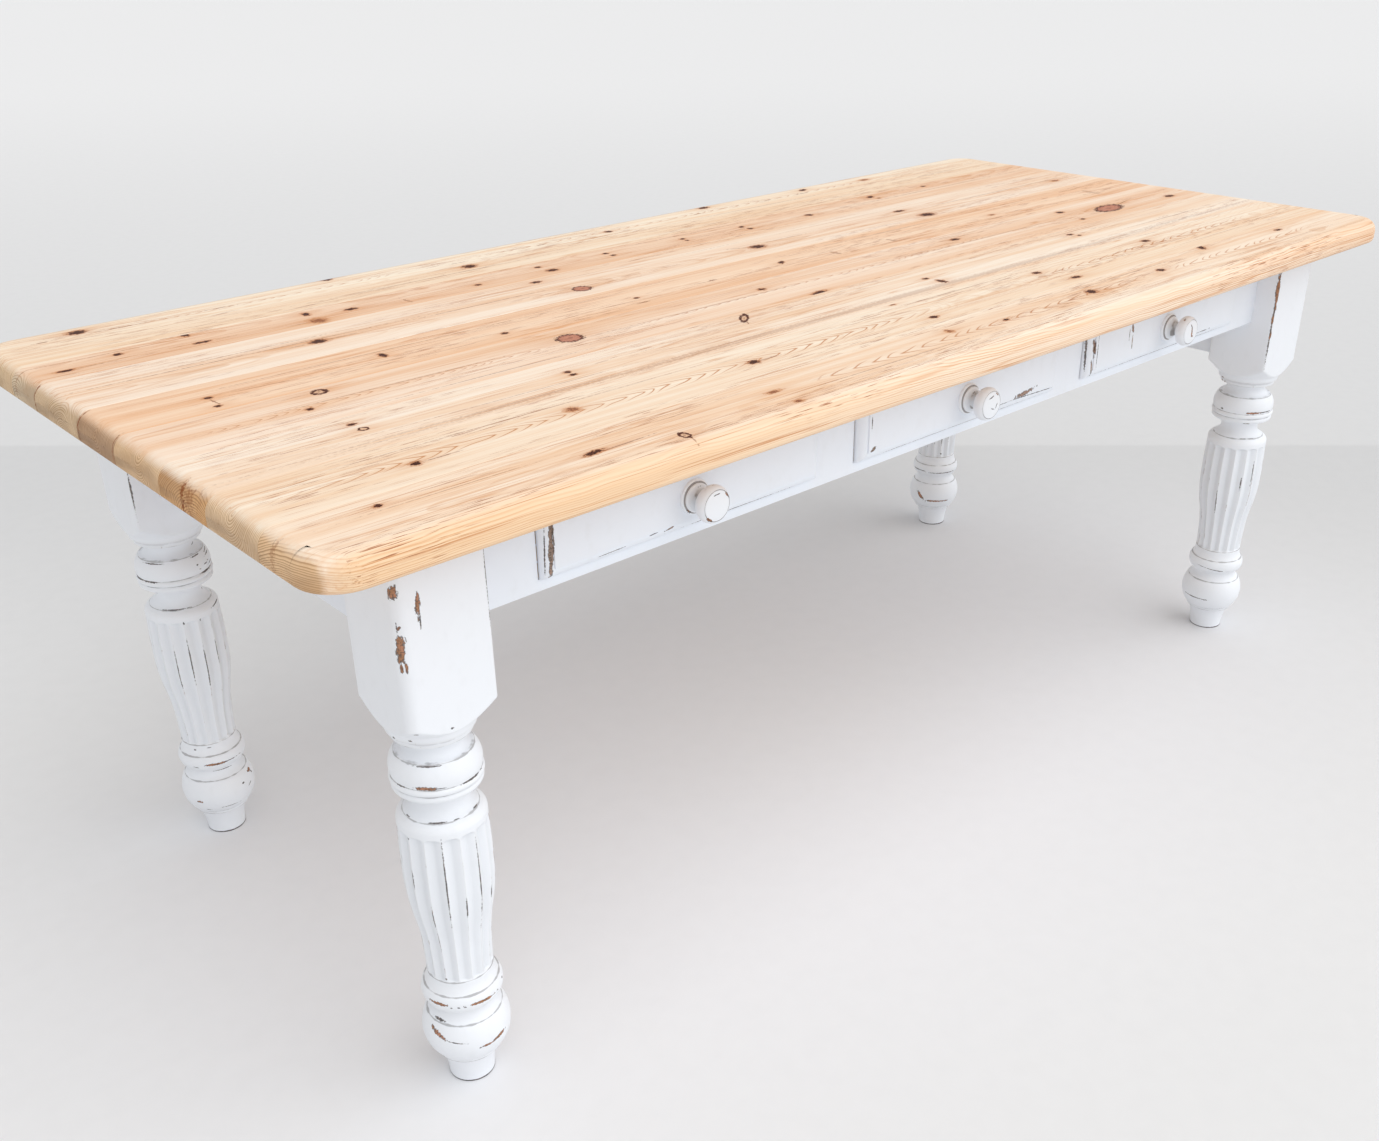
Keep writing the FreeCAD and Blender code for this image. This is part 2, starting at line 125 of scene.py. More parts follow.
# the nodes of one material or world, with short calls to add and wire them
class Shade:
    def __init__(self, name, family=bpy.data.materials):
        self.owner = family.new(name)
        self.owner.use_nodes = True
        self.tree = self.owner.node_tree
        self.tree.nodes.clear()
        self.place = self.node("ShaderNodeTexCoord").outputs["Object"]
        parts = self.node("ShaderNodeSeparateXYZ", {0: self.place}).outputs
        self.x, self.y, self.z = (Value(self, part) for part in parts)

    def node(self, kind, inputs=None, **settings):
        made = self.tree.nodes.new(kind)
        for key, setting in settings.items():
            setattr(made, key, setting)
        for key, value in (inputs or {}).items():
            socket = made.inputs[key]
            value = value.socket if isinstance(value, Value) else value
            if isinstance(value, bpy.types.NodeSocket):
                self.tree.links.new(value, socket)
            elif isinstance(value, tuple) and len(value) == 3 and socket.type == "RGBA":
                socket.default_value = (*value, 1.0)
            elif value is not None:
                socket.default_value = value
        return made

    def value(self, kind, inputs, output=0, **settings):
        return Value(self, self.node(kind, inputs, **settings).outputs[output])

    def math(self, operation, a, b=0.0, clamp=False):
        return self.value("ShaderNodeMath", {0: a, 1: b}, operation=operation, use_clamp=clamp)

    def most(self, a, b):
        return self.math("MAXIMUM", a, b)

    def least(self, values):
        return reduce(lambda a, b: self.math("MINIMUM", a, b), values)

    def attribute(self, name):
        return self.value("ShaderNodeAttribute", {}, "Fac", attribute_name=name)

    def vector(self, x=0.0, y=0.0, z=0.0):
        return self.value("ShaderNodeCombineXYZ", {0: x, 1: y, 2: z})

    def noiseAt(self, vector, detail, roughness=0.5, distortion=0.0):
        feeds = {"Vector": vector, "Scale": 1.0, "Detail": detail, "Roughness": roughness,
                 "Distortion": distortion}
        return self.value("ShaderNodeTexNoise", feeds)

    def noise(self, scale, shift=(0.0, 0.0, 0.0), detail=3.0, roughness=0.5, distortion=0.0):
        # scale is how often it repeats in a metre, one number or one for each axis
        scale = scale if isinstance(scale, tuple) else (scale, scale, scale)
        moved = self.value("ShaderNodeMapping", {"Vector": self.place, "Location": shift, "Scale": scale})
        return self.noiseAt(moved, detail, roughness, distortion)

    def step(self, value, low, high, toLow=0.0, toHigh=1.0, kind="SMOOTHSTEP"):
        feeds = {0: value, 1: low, 2: high, 3: toLow, 4: toHigh}
        return self.value("ShaderNodeMapRange", feeds, interpolation_type=kind)

    def fall(self, value, low, high):
        return self.step(value, low, high, 1.0, 0.0)

    def spread(self, value, toLow, toHigh):
        return self.step(value, 0.2, 0.8, toLow, toHigh, "LINEAR")

    def distance(self, vector, centre, halves, degrees=0.0):
        # length of the vector from the centre, turned back by the degrees and measured in the half sizes
        feeds = {"Vector": vector, "Location": centre, "Rotation": (0.0, 0.0, math.radians(degrees)),
                 "Scale": halves}
        measured = self.value("ShaderNodeMapping", feeds, vector_type="TEXTURE")
        return self.value("ShaderNodeVectorMath", {0: measured}, "Value", operation="LENGTH")

    def mix(self, share, a, b):
        return self.value("ShaderNodeMix", {0: share, 6: a, 7: b}, 2, data_type="RGBA")

    def bump(self, height, distance, strength, normal=None):
        feeds = {"Height": height, "Distance": distance, "Strength": strength, "Normal": normal}
        return self.value("ShaderNodeBump", feeds)

    def finish(self, colour, roughness, normal=None, **fixed):
        feeds = {"Base Color": colour, "Roughness": roughness, "Normal": normal}
        feeds.update({key.replace("_", " "): value for key, value in fixed.items()})
        self.node("ShaderNodeOutputMaterial", {0: self.value("ShaderNodeBsdfPrincipled", feeds)})
        return self.owner


def addPiece(name, patches, material, body, replaced, attributes=()):
    # patches: list of (points, quads); points n x 3, quads m x 4, counted from 0 in each patch
    points = np.concatenate([p for p, q in patches])
    starts = np.cumsum([0] + [len(p) for p, q in patches[:-1]])
    faces = np.concatenate([q + start for (p, q), start in zip(patches, starts)])
    corners = faces.astype(np.int32).ravel()
    mesh = bpy.data.meshes.new(name)
    mesh.vertices.add(len(points))
    mesh.vertices.foreach_set("co", points.astype(np.float32).ravel())
    mesh.loops.add(len(corners))
    mesh.loops.foreach_set("vertex_index", corners)
    mesh.polygons.add(len(faces))
    mesh.polygons.foreach_set("loop_start", np.arange(0, len(corners), 4, dtype=np.int32))
    mesh.update(calc_edges=True)
    mesh.polygons.foreach_set("use_smooth", np.ones(len(faces), dtype=bool))
    for label, values in attributes:
        layer = mesh.attributes.new(label, "FLOAT", "POINT")
        layer.data.foreach_set("value", np.asarray(values, dtype=np.float32).ravel())
    mesh.validate()
    piece = putIn(name, mesh)
    mesh.materials.append(material)
    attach(piece, body)
    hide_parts(*replaced)


def tubeQuads(rows, cols):
    # rows x cols points, row by row, with the last column joined to the first
    index = np.arange(rows * cols).reshape(rows, cols)
    index = np.hstack([index, index[:, :1]])
    return np.stack([index[:-1, :-1], index[:-1, 1:], index[1:, 1:], index[1:, :-1]], -1).reshape(-1, 4)


def circleThrough(a, b, c):
    # centre and radius of the circle through three points of the plane
    matrix = 2 * np.array([b - a, c - a])
    centre = np.linalg.solve(matrix, np.array([b @ b - a @ a, c @ c - a @ a]))
    return centre, np.linalg.norm(a - centre)


def sampledOutline(start, steps, spacing):
    # a pair is a straight run and a foursome an arc through its first pair, both cut at about the spacing
    # points close to each corner keep it crisp
    points = [np.array([start], dtype=float)]
    crisp = 0.12
    for step in steps:
        a = points[-1][-1]
        c = np.array(step[-2:], dtype=float)
        if len(step) == 2:
            length = np.linalg.norm(c - a)
            share = np.linspace(0, 1, max(2, int(length / spacing) + 1))
            close = min(crisp / length, 0.3)
            share = np.unique(np.concatenate([share, [close, 1 - close]]))
            run = a + share[:, None] * (c - a)
        else:
            centre, radius = circleThrough(a, np.array(step[:2], dtype=float), c)
            angles = [math.atan2(*(p - centre)[::-1]) for p in (a, np.array(step[:2]), c)]
            sweep = (angles[2] - angles[0]) % (2 * math.pi)
            if (angles[1] - angles[0]) % (2 * math.pi) > sweep:
                sweep -= 2 * math.pi
            count = max(6, int(abs(sweep) * radius / spacing) + 1)
            turn = angles[0] + sweep * np.linspace(0, 1, count)
            run = centre + radius * np.stack([np.cos(turn), np.sin(turn)], 1)
        points.append(run[1:])
    return np.concatenate(points)


def smoothCurve(x, knotX, knotY):
    # cubic pieces through the knots, with each knot's slope taken from its neighbours
    knotX, knotY = np.array(knotX, dtype=float), np.array(knotY, dtype=float)
    slope = np.gradient(knotY, knotX)
    k = np.clip(np.searchsorted(knotX, x) - 1, 0, len(knotX) - 2)
    width = knotX[k + 1] - knotX[k]
    t = np.clip((x - knotX[k]) / width, 0, 1)
    start = (1 + 2 * t) * (1 - t) ** 2 * knotY[k] + t * (1 - t) ** 2 * width * slope[k]
    end = t ** 2 * (3 - 2 * t) * knotY[k + 1] + t ** 2 * (t - 1) * width * slope[k + 1]
    return start + end


def smoothStep(value, low, high):
    t = np.clip((value - low) / (high - low), 0, 1)
    return t * t * (3 - 2 * t)


top = {
    "upperRound": 20.0,
    "lowerRound": 8.0,
    "cornerRadius": 50.0,
    "seamEase": 0.35,                 # how far the boards' long edges are rubbed down, and how far in
    "seamWidth": 0.7,
    "columnSpacing": 2.2,
    "rowSpacing": 9.0,
    "knotRowSpacing": 2.0,
    "knotReach": 26.0,
    # wood is a board's mean colour and end that of its sawn end
    # pith is where the tree's heart lies, from the board's middle and the top face; pitch is the
    # width of a year's ring; taper is how fast the heart falls away along the board, bow how far
    # and over what length it swings up and down, peaks how much the rings jag, and rings how
    # strongly they show on the face
    # chains of arrow heads: y, from x, to x, half width, spacing, heading, strength
    # knots of each kind: x, y, half length, half width, and degrees where they're turned
    # streaks: x, y, half length, half width, strength, and degrees where they're turned
    "boards": [
        {"wood": (0.925, 0.725, 0.545), "end": (0.740, 0.500, 0.290), "pith": (-10, -170), "pitch": 2.5,
         "taper": 0.014, "bow": (6, 1500, 0.4), "peaks": 5, "rings": 0.55,
         "chains": [(-408, -330, 420, 12, 30, -1, 0.8), (-412, 420, 900, 12, 26, -1, 0.75)],
         "knots": {"dark": [(-912, -384, 5, 3.5), (-676, -415, 12, 4.5, 8), (33, -405, 4.5, 3.5),
                            (238, -400, 9, 7.5, 20), (420, -400, 7, 5.5), (596, -363, 6, 12, -35),
                            (801, -386, 8, 4)],
                   "ring": [(-574, -441, 6, 9)],
                   "rust": [(-404, -404, 10, 4), (-406, -447, 6, 4), (-64, -387, 5, 6.5)]},
         "streaks": [(-1026, -352, 12, 3.0, 0.55), (-1022, -386, 8, 5, 0.4), (-640, -417, 40, 1.2, 0.7, 3),
                     (-574, -455, 1.2, 12, 0.6), (-200, -425, 190, 1.0, 0.5), (330, -378, 230, 1.0, 0.5, 0.4),
                     (700, -430, 210, 1.0, 0.5), (-840, -396, 120, 1.1, 0.45)]},
        {"wood": (0.925, 0.745, 0.565), "end": (0.780, 0.585, 0.390), "pith": (3, -48), "pitch": 2.8,
         "taper": 0.03, "bow": (20, 2300, 0.3), "peaks": 13, "rings": 0.40,
         "chains": [(-300, -1000, 120, 14, 26, 1, 0.9), (-297, 120, 960, 13, 28, -1, 0.85)],
         "knots": {"dark": [(-827, -313, 6, 5.5), (-341, -305, 8, 6), (-25, -329, 7, 4.5),
                            (274, -280, 7, 5.5), (294, -336, 10, 4.5), (575, -276, 8, 5.5)],
                   "rust": [(-610, -291, 8, 7), (-17, -247, 5, 4)]},
         "streaks": [(-797, -314, 26, 1.4, 0.7), (-318, -306, 26, 3.0, 0.5), (-600, -268, 260, 1.0, 0.5),
                     (120, -262, 170, 1.0, 0.6), (740, -330, 160, 1.1, 0.5)]},
        {"wood": (0.920, 0.745, 0.580), "end": (0.650, 0.375, 0.165), "pith": (-30, -90), "pitch": 3.0,
         "taper": 0.014, "bow": (9, 1900, 2.2), "peaks": 4, "rings": 0.28,
         "chains": [],
         "knots": {"dark": [(-815, -161, 4.5, 4), (-531, -176, 5, 4), (-531, -189, 5, 3.5), (129, -185, 5, 4),
                            (135, -211, 5, 9), (530, -162, 6, 4.5), (536, -176, 4, 3)],
                   "ring": [(-813, -183, 6, 5.5), (-212, -152, 19, 6, 45)]},
         "streaks": [(-1024, -190, 12, 4.5, 0.9, 20), (-1024, -206, 6, 12, 0.5), (0, -228, 1100, 9, 0.3),
                     (-224, -172, 9, 1.4, 0.8, 60), (-650, -206, 230, 1.0, 0.5), (300, -150, 260, 1.0, 0.5),
                     (760, -200, 180, 1.2, 0.5)]},
        {"wood": (0.910, 0.700, 0.530), "end": (0.730, 0.520, 0.320), "pith": (-7, -12), "pitch": 2.7,
         "taper": 0.006, "bow": (5, 1700, 1.2), "peaks": 9, "rings": 0.55,
         "chains": [(-75, -940, -480, 7, 18, 1, 0.75), (-73, -320, 500, 7, 20, 1, 0.7)],
         "knots": {"ring": [(-786, -33, 10, 9, 30)],
                   "dark": [(-824, -82, 4.5, 4), (-87, -58, 6, 5), (-41, -130, 14, 6, 10), (367, -49, 9, 5.5),
                            (669, -44, 7, 6), (650, -105, 5, 4), (936, -100, 10, 6.5)],
                   "red": [(-440, -62, 18, 16, 10), (762, -84, 36, 18, 8)]},
         "streaks": [(822, -73, 26, 1.4, 0.8, 14), (-200, -73, 230, 1.6, 0.45), (420, -76, 300, 1.6, 0.5),
                     (-600, -118, 200, 1.2, 0.5), (-700, -68, 160, 1.6, 0.5)]},
        {"wood": (0.890, 0.630, 0.435), "end": (0.470, 0.310, 0.195), "pith": (0, -20), "pitch": 3.2,
         "taper": 0.008, "bow": (6, 2100, 0.0), "peaks": 4, "rings": 0.60,
         "chains": [],
         "knots": {"dark": [(-891, 38, 5, 4), (-895, 2, 4, 3.5), (-656, 44, 4.5, 8), (-488, 17, 4.5, 4),
                            (-248, 34, 4, 3.5), (51, 40, 8, 4, 40)],
                   "rust": [(568, 29, 6, 4)]},
         "streaks": [(-1022, 92, 18, 2.0, 0.7), (-1022, -10, 16, 1.6, 0.6), (-891, 20, 1.6, 18, 0.7, 4),
                     (-256, 8, 19, 2.6, 0.9), (-101, 32, 11, 3.4, 0.9), (-124, 32, 24, 1.2, 0.6),
                     (158, 24, 5, 13, 0.5), (290, 20, 5, 13, 0.5), (867, 25, 8, 20, 0.35),
                     (-600, 62, 240, 1.3, 0.5), (350, 70, 320, 1.4, 0.45)]},
        {"wood": (0.905, 0.715, 0.550), "end": (0.660, 0.500, 0.330), "pith": (-20, -75), "pitch": 2.6,
         "taper": 0.016, "bow": (10, 2500, 1.0), "peaks": 3, "rings": 0.65,
         "chains": [],
         "knots": {"dark": [(-685, 158, 11, 8), (-297, 211, 8, 5), (101, 145, 13, 9), (478, 168, 11, 5.5),
                            (491, 113, 15, 10)],
                   "red": [(-271, 132, 14, 13)],
                   "rust": [(918, 143, 9, 5.5)]},
         "streaks": [(-742, 169, 242, 1.2, 0.75), (-415, 162, 115, 1.2, 0.7), (180, 158, 68, 1.1, 0.8),
                     (-800, 182, 200, 1.2, 0.6), (700, 156, 260, 1.2, 0.6), (-655, 158, 34, 1.8, 0.6),
                     (-716, 157, 26, 1.6, 0.6), (70, 158, 30, 1.3, 0.7, -25), (300, 190, 300, 1.0, 0.5)]},
        {"wood": (0.865, 0.625, 0.445), "end": (0.690, 0.580, 0.430), "pith": (25, -60), "pitch": 3.1,
         "taper": 0.012, "bow": (9, 1800, 2.8), "peaks": 4, "rings": 0.80,
         "chains": [],
         "knots": {"dark": [(-800, 316, 6, 11), (-899, 287, 5.5, 5), (-974, 263, 10, 4), (-797, 263, 10, 4),
                            (-633, 292, 5, 8), (-574, 272, 9, 5), (-368, 260, 5, 4), (-239, 286, 5, 4.5),
                            (-234, 255, 9, 6.5), (-106, 284, 4.5, 4), (-104, 266, 4.5, 4), (52, 276, 5, 4.5),
                            (51, 263, 3.5, 3), (187, 274, 6, 4, 40), (189, 254, 5, 4.5), (341, 261, 7, 6),
                            (541, 293, 9, 5.5, 30), (694, 292, 5, 4)],
                   "rust": [(-636, 250, 11, 12), (544, 275, 5, 4)]},
         "streaks": [(-1022, 234, 24, 1.8, 0.9), (-825, 314, 24, 1.5, 0.7), (-770, 314, 24, 1.5, 0.7),
                     (-492, 257, 1.6, 15, 0.9, 6), (-662, 251, 26, 1.4, 0.6), (-940, 263, 30, 1.4, 0.6),
                     (-765, 263, 26, 1.4, 0.6), (-1000, 300, 220, 1.3, 0.5), (100, 300, 260, 1.3, 0.5),
                     (700, 262, 240, 1.4, 0.5)]},
        {"wood": (0.905, 0.735, 0.555), "end": (0.690, 0.520, 0.340), "pith": (0, -55), "pitch": 3.2,
         "taper": 0.016, "bow": (12, 2000, 0.8), "peaks": 8, "rings": 0.50,
         "chains": [(411, -1000, -420, 8, 22, 1, 0.75), (415, -300, 700, 9, 26, 1, 0.7)],
         "knots": {"dark": [(-900, 428, 11, 9), (-515, 452, 8, 7), (-312, 368, 11, 9), (0, 410, 6.5, 5.5),
                            (251, 444, 10, 6.5), (502, 434, 9, 5.5, 25)],
                   "rust": [(665, 421, 10, 6.5)]},
         "streaks": [(-951, 411, 15, 1.4, 0.9), (-838, 411, 42, 1.4, 0.9), (-1024, 380, 10, 1.2, 0.6),
                     (-700, 411, 38, 1.4, 0.9), (-143, 411, 10, 2.0, 0.9), (207, 411, 18, 1.8, 0.8),
                     (387, 411, 19, 2.2, 1.0), (475, 411, 25, 2.2, 0.8), (-313, 400, 27, 1.6, 0.8),
                     (-400, 345, 240, 1.2, 0.5), (300, 380, 300, 1.2, 0.5), (800, 360, 200, 1.2, 0.5)]},
    ],
}

# shares of a board's own colour, and colours of what lies on it
pine = {
    "cream": (1.045, 1.12, 1.20),
    "amber": (0.95, 0.82, 0.71),
    "yellowed": (0.96, 0.82, 0.60),   # the front edge towards its left end
    "lateWood": (0.72, 0.48, 0.31),
    "loopLine": (0.72, 0.40, 0.19),
    "arrowHead": (0.60, 0.30, 0.13),
    "endPale": (1.12, 1.10, 1.06),
    "endStained": (0.80, 0.75, 0.70),
    "endRing": (0.50, 0.38, 0.28),
    "brightest": 0.965,
    "halo": (0.68, 0.30, 0.11),
    "streak": (0.25, 0.065, 0.014),
    "hair": (0.56, 0.20, 0.055),
    "dash": (0.36, 0.10, 0.025),
}

# how each kind of knot is laid over the wood, by the distance in the knot's half sizes
# around and inside: where it fades from and to, how strongly, and its colours
knotKinds = {
    "dark": {"ragged": 2.6, "around": (0.95, 1.75, 0.72, (0.44, 0.14, 0.035)),
             "inside": (0.86, 1.06, 1.00, (0.014, 0.002, 0.0), (0.13, 0.026, 0.004))},
    "rust": {"ragged": 2.6, "around": (0.90, 1.90, 0.70, (0.58, 0.24, 0.09)),
             "inside": (0.65, 1.00, 0.85, (0.14, 0.035, 0.012), (0.42, 0.15, 0.055))},
    "red": {"ragged": 1.3, "inside": (0.88, 1.04, 0.88, (0.54, 0.20, 0.125), (0.24, 0.065, 0.03)),
            "rim": (0.74, 0.92)},
    "ring": {"ragged": 1.3, "inside": (0.88, 1.04, 0.70, (0.80, 0.50, 0.31), (0.24, 0.065, 0.03)),
             "rim": (0.50, 0.72)},
    "rimColour": (0.085, 0.016, 0.004),
    "heartColour": (0.12, 0.03, 0.012),
}


def knotsOf(board):
    return [knot for knots in board["knots"].values() for knot in knots]


def insetUp(height):
    # how far the edge has drawn in at a height, by the two quarter rounds
    upper, lower = top["upperRound"], top["lowerRound"]
    above = np.clip(height - (top["high"] - upper), 0, upper)
    below = np.clip((top["low"] + lower) - height, 0, lower)
    return upper - np.sqrt(upper ** 2 - above ** 2) + lower - np.sqrt(lower ** 2 - below ** 2)


def boardPoints(number, y0, y1):
    # a board is its cross section in Y and Z, carried along X
    # the section shrinks with the rounds at both ends, and in plan with the corner radius
    board = top["boards"][number]
    halfLength, halfWidth = top["halfLength"], top["halfWidth"]
    low, high, corner = top["low"], top["high"], top["cornerRadius"]
    upper, lower = top["upperRound"], top["lowerRound"]
    first, last = number == 0, number == len(top["boards"]) - 1

    # rows along X: close together at the ends, at the corners and near knots
    fine = np.linspace(-halfLength, halfLength, 6001)
    density = np.full(len(fine), 1 / top["rowSpacing"])
    for knotX, knotY, knotLength, *others in knotsOf(board):
        near = np.exp(-((fine - knotX) / (top["knotReach"] + 1.5 * knotLength)) ** 4)
        density = np.maximum(density, near / top["knotRowSpacing"])
    count = np.concatenate([[0], np.cumsum((density[1:] + density[:-1]) / 2 * np.diff(fine))])
    inside = np.interp(np.linspace(0, count[-1], int(count[-1])), count, fine)
    fromEnd = upper * (1 - np.cos(np.linspace(0, math.pi / 2, 11)))
    bend = halfLength - corner + corner * np.sin(np.linspace(0, 1, 13) ** 0.7 * math.pi / 2)
    ends = np.concatenate([halfLength - fromEnd, bend if first or last else [], [halfLength - lower * 0.3]])
    rows = np.concatenate([inside[np.abs(inside) < halfLength - upper - 1], ends, -ends])
    rows = np.unique(np.round(np.clip(rows, -halfLength, halfLength), 3))[:, None]
    fromRowEnd = halfLength - np.abs(rows)

    # heights of the top and bottom faces at each row
    drawnUp = np.clip(upper - fromRowEnd, 0, upper)
    drawnDown = np.clip(lower - fromRowEnd, 0, lower)
    rowHigh = high - upper + np.sqrt(upper ** 2 - drawnUp ** 2)
    rowLow = low + lower - np.sqrt(lower ** 2 - drawnDown ** 2)

    across = np.linspace(0, 1, max(8, int((y1 - y0) / top["columnSpacing"])) + 1)
    ease = np.array([0.0, 0.25, 0.6, 1.1]) / (y1 - y0)
    across = np.unique(np.concatenate([across, ease, 1 - ease]))[None, :]

    def wall(side):
        # a long side, from the bottom face to the top face, round the plan corners
        turn = np.linspace(0, 1, 15)[None, :] * math.pi / 2
        lowPart = rowLow + (low + lower - rowLow) * np.sin(turn)
        highPart = high - upper + (rowHigh - (high - upper)) * np.sin(turn)
        height = np.concatenate([lowPart, highPart], 1)
        past = np.clip(np.abs(rows) - (halfLength - corner), 0, None)
        reach = np.sqrt(np.clip((corner - insetUp(height)) ** 2 - past ** 2, 0, None))
        return side * (halfWidth - corner + reach), height

    middle = (rowLow + rowHigh) / 2
    startY, startZ = wall(-1) if first else (y0 + 0 * rowLow, middle)
    endY, endZ = (side[:, ::-1] for side in (wall(1) if last else (y1 + 0 * rowLow, middle)))
    faceY = startY[:, -1:] + (endY[:, :1] - startY[:, -1:]) * across
    underY = endY[:, -1:] + (startY[:, :1] - endY[:, -1:]) * np.linspace(0, 1, 9)[None, :]
    away = 1e3
    fromSeam = np.minimum(away if first else faceY - y0, away if last else y1 - faceY)
    faceZ = rowHigh - top["seamEase"] * np.exp(-(fromSeam / top["seamWidth"]) ** 2)
    y = np.concatenate([startY, faceY, endY, underY], 1)
    z = np.concatenate([startZ, faceZ, endZ, rowLow + 0 * underY], 1)
    return np.stack([rows + 0 * y, y, z], -1)


def knotFields(board, points):
    # shift: how far the grain is pushed aside, as a stream round a post: aside / (flow^2 + 0.8)
    # halo: 1 at a knot, falling off smoothly and further along the grain than across it
    x, y = points[..., 0], points[..., 1]
    shift, halo = np.zeros(x.shape), np.zeros(x.shape)
    for knotX, knotY, halfLength, halfWidth, *turn in knotsOf(board):
        along, aside = x - knotX, y - knotY
        flow = np.hypot(along / (1.5 * halfLength + 3), aside / (1.3 * halfWidth + 1))
        shift -= 0.8 * aside / (flow ** 2 + 0.8) * np.exp(-flow / 3.2)
        reach = np.hypot(along / (2.6 * halfLength + 8), aside / (1.4 * halfWidth + 2.0))
        halo = np.maximum(halo, np.exp(-reach ** 1.6))
    return shift, halo


def knotColours(s, body, board, high, ragged):
    for kind, knots in board["knots"].items():
        look = knotKinds[kind]
        away = s.least([s.distance(s.place, (x * mm, y * mm, high), (halfLength * mm, halfWidth * mm, 0.060),
                                   sum(turn)) for x, y, halfLength, halfWidth, *turn in knots])
        away = away + ragged * look["ragged"]
        start, end, strength, dark, light = look["inside"]
        if "around" in look:
            outerStart, outerEnd, outerStrength, outerColour = look["around"]
            body = s.mix(s.fall(away, outerStart, outerEnd) * outerStrength, body, outerColour)
            inside = s.mix(s.step(s.noise((420.0, 700.0, 700.0), detail=2.0), 0.40, 0.62), dark, light)
        else:
            rings = s.step(s.math("PINGPONG", away * 2.6, 0.5), 0.08, 0.42)
            inside = s.mix(rings * 0.34, dark, light)
        body = s.mix(s.fall(away, start, end) * strength, body, inside)
        if "rim" in look:
            rim = s.step(away, *look["rim"]) * s.fall(away, 1.02, 1.22)
            body = s.mix(rim, body, knotKinds["rimColour"])
            body = s.mix(s.fall(away, 0.06, 0.24) * 0.5, body, knotKinds["heartColour"])
    return body


